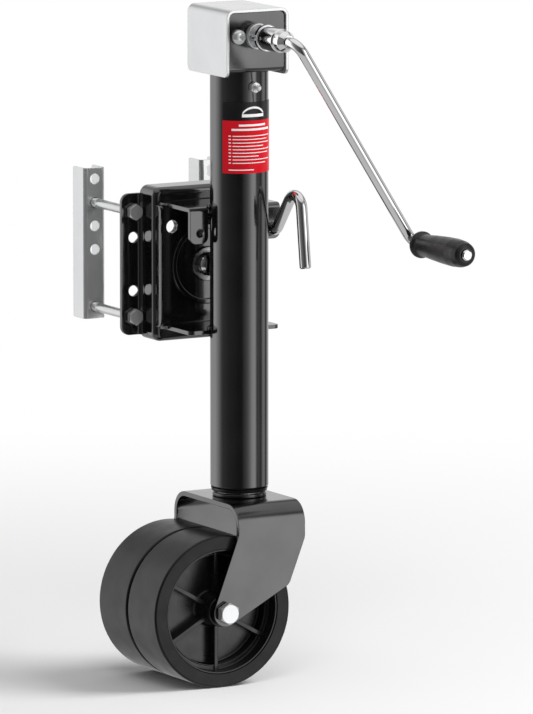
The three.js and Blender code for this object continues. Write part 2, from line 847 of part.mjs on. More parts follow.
add(
  'shaft_collar',
  roundY(
    [
      [SHAFT_R + GAP, out(57.8)],
      [12.2, out(57.8)],
      [13.2, out(56.8)],
      [13.2, out(52.6)],
      [12.2, out(51.6)],
      [SHAFT_R + GAP, out(51.6)],
      [SHAFT_R + GAP, out(57.8)],
    ],
    0,
    SHAFT_Z,
    24,
  ),
  CHROME,
);

// ---- lead screw and its lower collar ----
const SCREW_BOTTOM = -140;
const SCREW_TOP = SHAFT_Z - 12.5;
const screwBody = roundZ(
  [
    [0, SCREW_BOTTOM],
    [SCREW_R - 2, SCREW_BOTTOM],
    [SCREW_R, SCREW_BOTTOM + 2],
    [SCREW_R, SCREW_TOP - 1],
    [SCREW_R - 1, SCREW_TOP],
    [0, SCREW_TOP],
  ],
  0,
  TUBE_Y,
  24,
);
add('lead_screw', screwBody.subtract(gearPinHole(2.3)), STEEL);
add(
  'screw_collar',
  roundZ(ring(SCREW_R + GAP, 15.5, HEAD_BOTTOM - 8.5, HEAD_BOTTOM - 0.5), 0, TUBE_Y, 24),
  STEEL,
);

// ---- leg: inner tube, drive nut, upper guide ring and kingpin ----
const PLUG = 6;
add(
  'inner_tube',
  roundZ(
    [
      [KINGPIN_R + GAP, INNER_BOTTOM],
      [INNER_R, INNER_BOTTOM],
      [INNER_R, INNER_TOP],
      [INNER_BORE, INNER_TOP],
      [INNER_BORE, INNER_BOTTOM + PLUG],
      [KINGPIN_R + GAP, INNER_BOTTOM + PLUG],
      [KINGPIN_R + GAP, INNER_BOTTOM],
    ],
    0,
    TUBE_Y,
    TUBE_SIDES,
  ),
  STEEL,
);
add(
  'drive_nut',
  roundZ(
    [
      [SCREW_R + RUN, INNER_TOP - 26],
      [INNER_BORE - GAP, INNER_TOP - 26],
      [INNER_BORE - GAP, INNER_TOP + GAP],
      [INNER_R, INNER_TOP + GAP],
      [INNER_R, INNER_TOP + 5],
      [SCREW_R + RUN, INNER_TOP + 5],
      [SCREW_R + RUN, INNER_TOP - 26],
    ],
    0,
    TUBE_Y,
    24,
  ),
  BRONZE,
);
add(
  'guide_ring_upper',
  roundZ(ring(INNER_R + GAP, TUBE_BORE - RUN, INNER_TOP - 32, INNER_TOP - 10), 0, TUBE_Y, TUBE_SIDES),
  RUBBER,
);
const kingpinHead = FORK_TOP - FORK_SHEET - 0.5;
add(
  'kingpin',
  roundZ(
    [
      [0, kingpinHead - 7],
      [13, kingpinHead - 7],
      [14.5, kingpinHead - 5.5],
      [14.5, kingpinHead],
      [KINGPIN_R, kingpinHead],
      [KINGPIN_R, INNER_BOTTOM + PLUG + 17],
      [KINGPIN_R - 1, INNER_BOTTOM + PLUG + 18],
      [0, INNER_BOTTOM + PLUG + 18],
    ],
    0,
    TUBE_Y,
    24,
  ),
  STEEL,
);
const kingNutZ = INNER_BOTTOM + PLUG + GAP;
add(
  'kingpin_nut',
  roundZ(rod(12 * HEX, kingNutZ, kingNutZ + 13), 0, TUBE_Y, 6).subtract(
    roundZ(rod(KINGPIN_R + GAP, kingNutZ - 1, kingNutZ + 14), 0, TUBE_Y, 24),
  ),
  ZINC,
);

// ---- caster fork: an inverted U whose legs sweep back to the axle ----
function caster() {
  const inside = FORK_HALF_Y - FORK_SHEET;
  const [front, back] = [out(FORK_HALF_Y), out(-FORK_HALF_Y)];
  const low = AXLE_Z - 30;
  const arch = outline([
    [front, low],
    [out(inside), low],
    [out(inside), FORK_TOP - FORK_SHEET, FORK_BEND - FORK_SHEET],
    [out(-inside), FORK_TOP - FORK_SHEET, FORK_BEND - FORK_SHEET],
    [out(-inside), low],
    [back, low],
    [back, FORK_TOP, FORK_BEND],
    [front, FORK_TOP, FORK_BEND],
  ]);
  const half = 37.3;
  // The leg narrows to a round end about the axle.
  const endR = 13.8;
  const heel = new THREE.Vector2(19.6, -301.8);
  const axle = new THREE.Vector2(AXLE_X, AXLE_Z);
  const tangentTo = (from, side) => {
    const away = from.clone().sub(axle);
    return away.angle() + side * Math.acos(endR / away.length());
  };
  const neck = new THREE.Vector2(-half, -250);
  const leg = new THREE.Shape();
  leg.moveTo(-half, FORK_TOP + 1);
  leg.lineTo(neck.x, neck.y);
  leg.absarc(axle.x, axle.y, endR, tangentTo(neck, 1), tangentTo(heel, -1) + 2 * Math.PI, false);
  leg.quadraticCurveTo(heel.x - 9, heel.y - 5.7, heel.x - 2, heel.y - 1);
  leg.quadraticCurveTo(heel.x + 2.4, heel.y + 2, heel.x + 5, heel.y + 9);
  leg.lineTo(half - 3, -262);
  leg.quadraticCurveTo(half, -255, half, -246);
  leg.lineTo(half, FORK_TOP + 1);
  leg.closePath();
  const holes = [
    roundY(rod(AXLE_R + GAP, front - 1, back + 1), AXLE_X, AXLE_Z),
    roundZ(rod(KINGPIN_R + RUN, FORK_TOP - 30, FORK_TOP + 1), 0, TUBE_Y, 24),
  ];
  return cut(alongX(arch, -70, 60, 8).intersect(alongY(leg, front - 1, back + 1, 10)), holes);
}
add('fork', caster(), PLATED);
add(
  'swivel_washer',
  roundZ(ring(KINGPIN_R + GAP, 26.5, FORK_TOP + GAP, INNER_BOTTOM - GAP), 0, TUBE_Y, 28),
  STEEL,
);

const axleHeadY = out(FORK_HALF_Y + GAP + 8);
add(
  'axle_bolt',
  hexBolt(AXLE_X, AXLE_Z, axleHeadY, 8, 9.5, AXLE_R, out(-FORK_HALF_Y - 14)),
  ZINC,
);
add(
  'axle_nut',
  hexNut(AXLE_X, AXLE_Z, out(-FORK_HALF_Y - GAP), out(-FORK_HALF_Y - 11), 9.5, AXLE_R + GAP),
  ZINC,
);

// ---- wheels: a tread moulded round a ribbed core, on a plain sleeve ----
const HUB_R = 15;
const SLEEVE_R = 9.5;
const TREAD_R = 61.5;
add(
  'wheel_spacer',
  roundY(
    ring(AXLE_R + GAP, 13, out(WHEEL_GAP / 2 - GAP), out(-WHEEL_GAP / 2 + GAP)),
    AXLE_X,
    AXLE_Z,
  ),
  STEEL,
);
function wheel(name, middle) {
  const half = WHEEL_WIDTH / 2;
  const [low, high] = [middle - half, middle + half];
  const edge = 2.5;
  const lean = Math.SQRT1_2 * edge;
  const tread = roundY(
    [
      [TREAD_R, low],
      [WHEEL_R - edge, low],
      [WHEEL_R - edge + lean, low + edge - lean],
      [WHEEL_R, low + edge],
      [WHEEL_R, high - edge],
      [WHEEL_R - edge + lean, high - edge + lean],
      [WHEEL_R - edge, high],
      [TREAD_R, high],
      [TREAD_R, low],
    ],
    AXLE_X,
    AXLE_Z,
    48,
  );
  add(`tyre_${name}`, tread, TREAD);

  // A thin rim wall, a shoulder part way in, then the web.
  const rim = TREAD_R - GAP;
  const wallR = 59.6;
  const shoulderR = 54.5;
  const shoulder = 14; // half the thickness over the shoulders
  const web = 4;
  const core = roundY(
    [
      [SLEEVE_R + GAP, low + 0.5],
      [HUB_R, low + 0.5],
      [HUB_R + 2, middle - web],
      [shoulderR, middle - web],
      [shoulderR, middle - shoulder],
      [wallR, middle - shoulder],
      [wallR, low + 1],
      [rim, low + 1],
      [rim, high - 1],
      [wallR, high - 1],
      [wallR, middle + shoulder],
      [shoulderR, middle + shoulder],
      [shoulderR, middle + web],
      [HUB_R + 2, middle + web],
      [HUB_R, high - 0.5],
      [SLEEVE_R + GAP, high - 0.5],
      [SLEEVE_R + GAP, low + 0.5],
    ],
    AXLE_X,
    AXLE_Z,
    30,
  );
  const ribHalf = 2.2;
  const ribReach = shoulder + 1.5;
  const ribs = [];
  for (let i = 0; i < 3; i++) {
    const rib = extruded(box(-wallR - 0.5, wallR + 0.5, -ribHalf, ribHalf), 2 * ribReach);
    rib.rotateZ(rad(30 + 60 * i)).rotateX(Math.PI / 2);
    ribs.push(solid(rib.translate(AXLE_X, middle + ribReach, AXLE_Z)));
  }
  const bore = roundY(rod(HUB_R - 2, low - 1, high + 1), AXLE_X, AXLE_Z);
  add(`wheel_core_${name}`, core.add(join(ribs).subtract(bore)), RUBBER);
  const sleeve = roundY(
    ring(AXLE_R + RUN, SLEEVE_R, low - 0.2, high + 0.2),
    AXLE_X,
    AXLE_Z,
  );
  add(`wheel_sleeve_${name}`, sleeve, BRONZE);
}
const wheelOffset = (WHEEL_WIDTH + WHEEL_GAP) / 2;
wheel('near', out(wheelOffset));
wheel('far', out(-wheelOffset));

// ---- pull pin: a bent rod whose straight end locks the swing ----
// It is drawn back here: its tip stands in the swivel bracket's hole, clear of the mount's.
const PIN_TIP = PLATE_BACK - 0.7;
const onPin = (n, z) => new THREE.Vector3(LOCK, out(n), z);
const pinPath = [
  new THREE.Vector3(LOCK, PIN_TIP, LOCK),
  onPin(5, LOCK),
  onPin(50.5, 96),
  onPin(62, 7.4),
];
add('pull_pin', bentRod(pinPath, PIN_R, [11, 13], 36), CHROME);
const COLLAR_BACK = PLATE_FRONT - 11.5; // clear of the bracket's side lips
const COLLAR_THICK = 4;
add(
  'pin_collar',
  roundY(ring(PIN_R + GAP, 9.6, COLLAR_BACK - COLLAR_THICK, COLLAR_BACK), LOCK, LOCK),
  STEEL,
);
function pinSpring() {
  const [wire, coilR, turns] = [1, 7.9, 7.5];
  const start = COLLAR_BACK - COLLAR_THICK - GAP - wire;
  const length = start - (TAB_FRONT + SHEET + GAP + wire);
  class Coil extends THREE.Curve {
    getPoint(t, target = new THREE.Vector3()) {
      const turn = 2 * Math.PI * turns * t;
      return target.set(
        LOCK + coilR * Math.cos(turn),
        start - length * t,
        LOCK + coilR * Math.sin(turn),
      );
    }
  }
  const section = new THREE.Shape();
  section.absarc(0, 0, wire, 0, 2 * Math.PI, false);
  return solid(
    new THREE.ExtrudeGeometry(section, {
      steps: turns * 8,
      extrudePath: new Coil(),
      curveSegments: 3,
      bevelEnabled: false,
    }),
  );
}
add('pin_spring', pinSpring(), STEEL);

// ---- hand crank: socket on the shaft's hexagon, bent arm, rubber grip ----
const lean = rad(CRANK_LEAN);
const onCrank = (reach, n) =>
  new THREE.Vector3(reach * Math.sin(lean), out(n), SHAFT_Z - reach * Math.cos(lean));
const SOCKET_N = 60;
const SOCKET_BACK = 98;
const socket = roundY(
  [
    [0, out(SOCKET_BACK)],
    [7, out(SOCKET_BACK)],
    [10.2, out(SOCKET_BACK - 5)],
    [10.2, out(SOCKET_N + 23)],
    [11, out(SOCKET_N + 22)],
    [11.7, out(SOCKET_N + 21)],
    [11.7, out(SOCKET_N + 1)],
    [10.9, out(SOCKET_N)],
    [0, out(SOCKET_N)],
  ],
  0,
  SHAFT_Z,
  24,
);
const socketHex = roundY(
  rod((SHAFT_HEX + GAP) * HEX, out(SHAFT_END + 1), out(SOCKET_N - 1)),
  0,
  SHAFT_Z,
  6,
);
const armSeat = roundY(rod(ROD_R + GAP, out(SOCKET_BACK + 1), out(SOCKET_BACK - 9)), 0, SHAFT_Z);
add('crank_socket', cut(socket, [socketHex, armSeat]), CHROME);
add(
  'crank_arm',
  bentRod(
    [
      onCrank(0, SOCKET_BACK - 8.7),
      onCrank(0, CRANK_PLANE),
      onCrank(CRANK_REACH, CRANK_PLANE + 6),
      onCrank(CRANK_REACH, GRIP_START + GRIP_LENGTH + 3),
    ],
    ROD_R,
    [13, 11.5],
    34,
  ),
  CHROME,
);
const gripAt = onCrank(CRANK_REACH, 0);
const gripOuter = [
  [0, 13],
  [3.5, 13.4],
  [5, 11.5],
  [8, 10.9],
  [26, 12],
  [50, 13.6],
  [66, 13.8],
  [80, 12.9],
  [84.5, 11],
  [GRIP_LENGTH, 7.5],
];
add(
  'crank_grip',
  roundY(
    [
      [ROD_R + RUN, out(GRIP_START)],
      ...gripOuter.map(([n, r]) => [r, out(GRIP_START + n)]),
      [ROD_R + RUN, out(GRIP_START + GRIP_LENGTH)],
      [ROD_R + RUN, out(GRIP_START)],
    ],
    gripAt.x,
    gripAt.z,
    20,
  ),
  RUBBER,
);

export default jack;
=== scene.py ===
"""Looks of the trailer tongue jack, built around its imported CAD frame.

Shapes are worked out in millimetres from the frame's own boxes and written to meshes in metres.
X runs along the trailer rail, -Y points outward to the crank and Z is up.
"""

import math

import bmesh
import bpy
from mathutils import Matrix, Vector
from mathutils.geometry import tessellate_polygon


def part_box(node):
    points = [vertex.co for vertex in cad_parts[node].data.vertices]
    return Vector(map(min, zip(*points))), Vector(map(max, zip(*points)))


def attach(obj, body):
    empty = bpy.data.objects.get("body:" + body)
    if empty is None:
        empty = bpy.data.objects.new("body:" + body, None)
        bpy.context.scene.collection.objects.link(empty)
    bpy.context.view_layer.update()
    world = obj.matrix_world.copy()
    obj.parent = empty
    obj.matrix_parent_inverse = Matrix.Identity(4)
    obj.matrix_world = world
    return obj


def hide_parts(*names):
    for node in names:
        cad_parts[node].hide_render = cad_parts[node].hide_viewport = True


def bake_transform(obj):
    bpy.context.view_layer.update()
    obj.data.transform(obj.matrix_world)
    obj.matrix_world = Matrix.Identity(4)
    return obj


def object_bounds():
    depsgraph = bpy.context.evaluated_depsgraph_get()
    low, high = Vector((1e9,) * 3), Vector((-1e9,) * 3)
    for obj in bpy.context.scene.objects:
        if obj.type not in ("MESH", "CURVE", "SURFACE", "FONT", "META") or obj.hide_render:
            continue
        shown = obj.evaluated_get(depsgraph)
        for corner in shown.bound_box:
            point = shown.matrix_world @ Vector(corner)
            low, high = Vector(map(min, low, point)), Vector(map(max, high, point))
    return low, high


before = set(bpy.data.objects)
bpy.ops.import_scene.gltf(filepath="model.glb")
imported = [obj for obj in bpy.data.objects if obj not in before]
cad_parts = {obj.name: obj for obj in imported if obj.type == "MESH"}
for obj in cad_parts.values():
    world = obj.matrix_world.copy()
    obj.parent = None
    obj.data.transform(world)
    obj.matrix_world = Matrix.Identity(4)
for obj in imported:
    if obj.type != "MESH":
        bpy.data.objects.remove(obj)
cad_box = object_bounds()

MM = 0.001
QUARTER = math.pi / 2


# ---- the frame's own sizes, in millimetres ----
def span(node):
    low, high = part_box(node)
    return low / MM, high / MM


def middle(node):
    low, high = span(node)
    return (low + high) / 2


TUBE_LOW, TUBE_HIGH = span("outer_tube")
TUBE_Y = (TUBE_LOW.y + TUBE_HIGH.y) / 2
TUBE_R = (TUBE_HIGH.x - TUBE_LOW.x) / 2
COVER_LOW, COVER_HIGH = span("head_cover")
CASE_LOW, CASE_HIGH = span("gear_case")
SHAFT_Z = middle("drive_shaft").z
FORK_LOW, FORK_HIGH = span("fork")
AXLE = middle("wheel_sleeve_near")
SHEET = 4.0  # mount bracket and swivel bracket
GAP = 0.3  # clearance between neighbours
EDGE = 0.5  # rounding of a cut sheet's edge
LOCK_X = middle("pull_pin").x  # the lock holes are as far out as they are up
RAIL_BOLT = middle("rail_bolt_upper_right")
LOCK_HOLE_R = 6.3
RAIL_HOLE_R = 5.3
PIVOT_R = 7.9  # the swing pivot's shank
BORE = TUBE_R - 3.175  # the outer tube's bore


# ---- outlines and shells ----
ARC_STEP = 9.0  # degrees between the points of a rounded corner


def rounded(corners, closed=True):
    """The points of an outline given as corners (u, v), or (u, v, radius) for an arc there."""
    points = []
    count = len(corners)
    for i, corner in enumerate(corners):
        here = Vector(corner[:2])
        radius = corner[2] if len(corner) > 2 else 0
        if not radius or (not closed and i in (0, count - 1)):
            points.append(here)
            continue
        before = (Vector(corners[i - 1][:2]) - here).normalized()
        after = (Vector(corners[(i + 1) % count][:2]) - here).normalized()
        half = math.acos(max(-1.0, min(1.0, before.dot(after)))) / 2
        centre = here + (before + after).normalized() * (radius / math.sin(half))
        start = here + before * (radius / math.tan(half)) - centre
        end = here + after * (radius / math.tan(half)) - centre
        sweep = math.atan2(start.x * end.y - start.y * end.x, start.dot(end))
        pieces = max(2, math.ceil(math.degrees(abs(sweep)) / ARC_STEP))
        for k in range(pieces + 1):
            points.append(centre + Matrix.Rotation(sweep * k / pieces, 2) @ start)
    return points


def circle(u, v, radius, sides=40):
    """The points of a circle, anticlockwise."""
    turns = [2 * math.pi * k / sides for k in range(sides)]
    return [Vector((u + radius * math.cos(t), v + radius * math.sin(t))) for t in turns]


def rounded_box(u0, u1, v0, v1, radius):
    return rounded([(u0, v0, radius), (u1, v0, radius), (u1, v1, radius), (u0, v1, radius)])


def loft(rings, close=True, caps=False):
    """A shell through rings of equally many points. close joins the last ring to the first."""
    count = len(rings[0])
    verts = [p for ring in rings for p in ring]
    faces = []
    last = len(rings) if close else len(rings) - 1
    for i in range(last):
        a, b = i * count, ((i + 1) % len(rings)) * count
        for k in range(count):
            n = (k + 1) % count
            faces.append((a + k, a + n, b + n, b + k))
    if caps:
        faces.append(tuple(range(count)))
        faces.append(tuple(range(len(verts) - count, len(verts))))
    return verts, faces


def turned(profile, axis, at, sides=96):
    """A profile of (radius, height) turned about a line along Y or Z. It starts and ends on the
    line, or is closed. at is (x, z) for Y and (x, y) for Z."""
    place = {
        "Y": lambda u, v, h: Vector((at[0] + u, h, at[1] + v)),
        "Z": lambda u, v, h: Vector((at[0] + u, at[1] + v, h)),
    }[axis]
    on_axis = profile[0][0] < 1e-6
    rings = []
    for radius, height in profile[1:-1] if on_axis else profile:
        rings.append([place(p.x, p.y, height) for p in circle(0, 0, radius, sides)])
    verts, faces = loft(rings, close=not on_axis)
    if on_axis:
        for ring, height in ((0, profile[0][1]), (len(rings) - 1, profile[-1][1])):
            tip = len(verts)
            verts.append(place(0, 0, height))
            first = ring * sides
            faces += [(first + k, first + (k + 1) % sides, tip) for k in range(sides)]
    return verts, faces


def plate(outline, holes, thickness, edge):
    """A flat plate in (u, v) with w from 0 to its thickness, and rounded edges."""

    def signed_area(loop):
        return sum(a.x * b.y - b.x * a.y for a, b in zip(loop, loop[1:] + loop[:1]))

    loops = [outline if signed_area(outline) > 0 else outline[::-1]]
    loops += [hole if signed_area(hole) < 0 else hole[::-1] for hole in holes]

    def inset(loop, distance):
        moved = []
        for i, here in enumerate(loop):
            a = (here - loop[i - 1]).normalized()
            b = (loop[(i + 1) % len(loop)] - here).normalized()
            side = Vector((-a.y - b.y, a.x + b.x))
            side.normalize()
            stretch = max(0.4, side.dot(Vector((-a.y, a.x))))
            moved.append(here + side * (distance / stretch))
        return moved

    nick = edge * (1 - math.sqrt(0.5))
    layers = [
        (edge, 0),
        (nick, nick),
        (0, edge),
        (0, thickness - edge),
        (nick, thickness - nick),
        (edge, thickness),
    ]
    verts, faces, caps = [], [], ([], [])
    for loop in loops:
        start = len(verts)
        count = len(loop)
        for distance, w in layers:
            verts += [Vector((p.x, p.y, w)) for p in inset(loop, distance)]
        for layer in range(len(layers) - 1):
            a = start + layer * count
            for k in range(count):
                n = (k + 1) % count
                faces.append((a + k, a + n, a + count + n, a + count + k))
        caps[0].append(range(start, start + count))
        caps[1].append(range(start + (len(layers) - 1) * count, start + len(layers) * count))
    for cap in caps:
        ids = [i for loop in cap for i in loop]
        flat = [[Vector((verts[i].x, verts[i].y, 0)) for i in loop] for loop in cap]
        faces += [tuple(ids[i] for i in tri) for tri in tessellate_polygon(flat)]
    return verts, faces


class Fold:
    """A sheet's path in a plane: straight runs between corners, with bends of one radius.
    The sheet's thickness lies to the right of the direction of travel."""

    def __init__(self, corners, radius):
        self.corners = [Vector(c) for c in corners]
        self.radius = radius
        self.runs = []
        self.cuts = []
        s = 0.0
        last = len(self.corners) - 2
        for i in range(last + 1):
            here, there = self.corners[i], self.corners[i + 1]
            travel = (there - here).normalized()
            start = here + travel * (radius if i else 0)
            length = (there - here).length - radius * ((i > 0) + (i < last))
            self.runs.append((s, length, start, travel, 0))
            s += length
            if i == last:
                break
            onward = (self.corners[i + 2] - there).normalized()
            turn = travel.x * onward.y - travel.y * onward.x
            arc = QUARTER * radius
            self.runs.append((s, arc, start + travel * length, travel, 1 if turn > 0 else -1))
            self.cuts += [s + arc * k / 8 for k in range(9)]
            s += arc
        self.length = s

    def mark(self, run, distance):
        """The path's length at a distance past a corner, on the straight run that starts there."""
        s, _, start, _, _ = self.runs[2 * run]
        return s + distance - (start - self.corners[run]).length

    def place(self, s, w):
        for at, length, start, travel, turn in self.runs:
            if s <= at + length + 1e-6:
                break
        side = Vector((travel.y, -travel.x))
        if not turn:
            return start + travel * (s - at) + side * w
        angle = (s - at) / self.radius
        centre = start - side * self.radius * turn
        reach = self.radius + turn * w
        spoke = side * turn * math.cos(angle) + travel * math.sin(angle)
        return centre + spoke * reach


def folded(path, outline, holes, thickness, edge, to_space):
    """A plate outlined in (path length, q) and folded along its path."""
    verts, faces = plate(outline, holes, thickness, edge)
    return bent(verts, faces, path.cuts, lambda v: to_space(*path.place(v.x, v.z), v.y))


def bent(verts, faces, cuts, move):
    """The same shell, cut across u at each of cuts and with every point moved."""
    bm = bmesh.new()
    made = [bm.verts.new(v) for v in verts]
    for face in faces:
        if len(set(face)) > 2:
            bm.faces.new([made[i] for i in face])
    for u in cuts:
        everything = bm.verts[:] + bm.edges[:] + bm.faces[:]
        bmesh.ops.bisect_plane(
            bm, geom=everything, dist=1e-4, plane_co=(u, 0, 0), plane_no=(1, 0, 0)
        )
    bm.verts.index_update()
    new_verts = [Vector(move(v.co)) for v in bm.verts]
    new_faces = [tuple(v.index for v in f.verts) for f in bm.faces]
    bm.free()
    return new_verts, new_faces


def filleted(points, bends):
    """A route in space whose corners are rounded to the given radii."""
    route = [Vector(points[0])]
    for before, here, after, bend in zip(points, points[1:], points[2:], bends):
        here = Vector(here)
        a = (Vector(before) - here).normalized()
        b = (Vector(after) - here).normalized()
        half = a.angle(b) / 2
        reach = bend / math.tan(half)
        centre = here + (a + b).normalized() * (bend / math.sin(half))
        start, end = here + a * reach - centre, here + b * reach - centre
        steps = max(4, math.ceil(math.degrees(start.angle(end)) / 7))
        for k in range(steps + 1):
            route.append(centre + start.slerp(end, k / steps).normalized() * bend)
    route.append(Vector(points[-1]))
    return route


def rod_along(route, radius, sides, tip):
    """A round rod along a route, with ends chamfered by tip."""
    first = (route[1] - route[0]).normalized()
    across = first.orthogonal().normalized()
    rings = []

    def ring(centre, direction, size):
        up = direction.cross(across).normalized()
        turns = [2 * math.pi * k / sides for k in range(sides)]
        return [centre + (across * math.cos(t) + up * math.sin(t)) * size for t in turns]

    for i, here in enumerate(route):
        before = (here - route[i - 1]).normalized() if i else first
        after = (route[i + 1] - here).normalized() if i + 1 < len(route) else before
        direction = (before + after).normalized()
        across = (across - direction * across.dot(direction)).normalized()
        if i == 0:
            rings.append(ring(here, direction, radius - tip))
            rings.append(ring(here + direction * tip, direction, radius))
        elif i == len(route) - 1:
            rings.append(ring(here - direction * tip, direction, radius))
            rings.append(ring(here, direction, radius - tip))
        else:
            rings.append(ring(here, direction, radius))
    return loft(rings, close=False, caps=True)


def rod(x, z, y0, y1, radius, sides):
    """A plain round rod along Y."""
    return turned([(0, y0), (radius, y0), (radius, y1), (0, y1)], "Y", (x, z), sides)


def dome(radius, y_rim, height, steps):
    """The outline of a domed head that points toward -Y, from near its top to its rim."""
    angles = [QUARTER * k / steps for k in range(steps)]
    return [(radius * math.cos(t), y_rim - height * math.sin(t)) for t in reversed(angles)]


def hexagon(x, z, y_face, y_foot, half_width, bore=0.0, both=False):
    """A hexagon head or nut along Y, with the round chamfer that turning leaves on it."""
    sides = 72
    depth = abs(y_foot - y_face)
    toward = 1 if y_foot > y_face else -1
    face_r = half_width * 0.93
    slope = math.tan(math.radians(60))

    def flat_radius(turn):
        within = (turn + math.pi / 6) % (math.pi / 3) - math.pi / 6
        return half_width / math.cos(within)

    def ring(distance, limit):
        points = []
        for k in range(sides):
            turn = 2 * math.pi * k / sides
            r = min(flat_radius(turn), limit)
            points.append(
                Vector((x + r * math.cos(turn), y_face + toward * distance, z + r * math.sin(turn)))
            )
        return points

    chamfer = (half_width * 2 / math.sqrt(3) - face_r) / slope
    steps = [chamfer * k / 5 for k in range(6)]
    rings = [ring(d, face_r + d * slope) for d in steps]
    if both:
        rings += [ring(depth - d, face_r + d * slope) for d in reversed(steps)]
    else:
        rings.append(ring(depth, half_width * 2))
    if not bore:
        return loft(rings, close=False, caps=True)
    inside = []
    for ring_points in (rings[-1], rings[0]):
        centre = Vector((x, ring_points[0].y, z))
        inside.append([centre + (p - centre).normalized() * bore for p in ring_points])
    return loft(rings + inside, close=True)


def threaded(x, z, y0, y1, radius, pitch, depth):
    """A rod along Y with a helical thread, closed at both ends."""
    sides, per_turn = 28, 6
    length = abs(y1 - y0)
    steps = max(2, round(length / pitch * per_turn))
    rings = []
    for i in range(steps + 1):
        t = i / steps
        y = y0 + (y1 - y0) * t
        fade = min(1.0, 6 * t, 6 * (1 - t) + 0.15)
        ring = []
        for k in range(sides):
            phase = (length * t / pitch - k / sides) % 1.0
            crest = 1 - abs(2 * phase - 1)
            r = radius - depth * (1 - crest) * fade
            turn = 2 * math.pi * k / sides
            ring.append(Vector((x + r * math.cos(turn), y, z + r * math.sin(turn))))
        rings.append(ring)
    return loft(rings, close=False, caps=True)


def piece(name, shells, finish, body, nodes):
    """One mesh object from several closed shells in millimetres, riding on a CAD body if given."""
    bm = bmesh.new()
    for verts, faces in shells:
        made = [bm.verts.new(Vector(v) * MM) for v in verts]
        for face in faces:
            if len(set(face)) > 2:
                bm.faces.new([made[i] for i in face])
    bmesh.ops.recalc_face_normals(bm, faces=bm.faces)
    for face in bm.faces:
        face.smooth = True
    mesh = bpy.data.meshes.new(name)
    bm.to_mesh(mesh)
    bm.free()
    mesh.set_sharp_from_angle(angle=math.radians(32))
    mesh.materials.append(finish)
    made = bpy.data.objects.new(name, mesh)
    bpy.context.scene.collection.objects.link(made)
    even = made.modifiers.new("flats_stay_flat", "WEIGHTED_NORMAL")
    even.keep_sharp = True
    even.weight = 80
    if body:
        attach(made, body)
    if nodes:
        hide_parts(*nodes)
    return made


# ---- materials ----
def material(name, color, rough, mottle, wear, grain, bump, metallic=0.0, specular=0.5,
             stretch=(1, 1, 1), patch=22.0):
    """A finish with soft colour mottling, uneven gloss and a fine grain.

    mottle is the share the colour varies by, wear the amount the roughness varies by, grain and
    patch the scales of the fine and the coarse noise, and stretch draws the grain out."""
    made = bpy.data.materials.new(name)
    made.use_nodes = True
    tree = made.node_tree
    shader = tree.nodes["Principled BSDF"]
    link = tree.links.new
    place = tree.nodes.new("ShaderNodeTexCoord").outputs["Object"]

    def noise(scale, detail, along=(1, 1, 1)):
        mapping = tree.nodes.new("ShaderNodeMapping")
        mapping.inputs["Scale"].default_value = along
        link(place, mapping.inputs["Vector"])
        node = tree.nodes.new("ShaderNodeTexNoise")
        node.inputs["Scale"].default_value = scale
        node.inputs["Detail"].default_value = detail
        link(mapping.outputs["Vector"], node.inputs["Vector"])
        return node.outputs["Fac"]

    def remap(value, low, high, to_low, to_high):
        node = tree.nodes.new("ShaderNodeMapRange")
        for key, number in zip(("From Min", "From Max", "To Min", "To Max"),
                               (low, high, to_low, to_high)):
            node.inputs[key].default_value = number
        link(value, node.inputs["Value"])
        return node.outputs["Result"]

    def mix(factor, a, b):
        node = tree.nodes.new("ShaderNodeMix")
        node.data_type = "RGBA"
        link(factor, node.inputs["Factor"])
        for key, value in (("A", a), ("B", b)):
            socket = next(s for s in node.inputs if s.name == key and s.type == "RGBA")
            socket.default_value = (*value, 1)
        return next(s for s in node.outputs if s.type == "RGBA")

    dark = tuple(c * (1 - mottle) for c in color)
    light = tuple(min(1.0, c * (1 + mottle) + 0.002) for c in color)
    link(mix(remap(noise(patch, 4.0), 0.35, 0.65, 0, 1), dark, light), shader.inputs["Base Color"])
    shader.inputs["Metallic"].default_value = metallic
    shader.inputs["Specular IOR Level"].default_value = specular
    smear = noise(patch * 2.6, 5.0, stretch)
    gloss = remap(smear, 0.3, 0.7, max(0.02, rough - wear), rough + wear)
    link(gloss, shader.inputs["Roughness"])
    relief = tree.nodes.new("ShaderNodeBump")
    relief.inputs["Strength"].default_value = bump
    relief.inputs["Distance"].default_value = 0.0004
    link(noise(grain, 2.0, stretch), relief.inputs["Height"])
    link(relief.outputs["Normal"], shader.inputs["Normal"])
    return made


BLACK = material("black_paint", (0.0035, 0.0035, 0.0038), 0.10, mottle=0.25, wear=0.03,
                 grain=420.0, bump=0.02, specular=1.0)
PLATED = material("plated_steel", (0.084, 0.084, 0.085), 0.16, metallic=1.0, mottle=0.05,
                  wear=0.03, grain=700.0, bump=0.015)
ZINC = material("bright_zinc", (0.52, 0.525, 0.53), 0.16, metallic=0.65, mottle=0.03, wear=0.03,
                grain=800.0, bump=0.012)
CHROME = material("chrome", (0.66, 0.66, 0.67), 0.06, metallic=1.0, mottle=0.03, wear=0.02,
                  grain=300.0, bump=0.01)
STEEL = material("bare_steel", (0.30, 0.30, 0.31), 0.28, metallic=1.0, mottle=0.12, wear=0.08,
                 grain=900.0, bump=0.06, stretch=(1, 1, 6))
BRONZE = material("bronze", (0.55, 0.36, 0.14), 0.33, metallic=1.0, mottle=0.12, wear=0.1,
                  grain=900.0, bump=0.1)
MOULDING = material("black_moulding", (0.004, 0.004, 0.0043), 0.30, mottle=0.2, wear=0.05,
                    grain=1100.0, bump=0.06)
TREAD = material("wheel_tread", (0.005, 0.005, 0.0053), 0.34, mottle=0.2, wear=0.05, grain=900.0,
                 bump=0.07, specular=0.22)
RUBBER = material("grip_rubber", (0.004, 0.004, 0.004), 0.36, mottle=0.2, wear=0.08, grain=1300.0,
                  bump=0.15, specular=0.4)
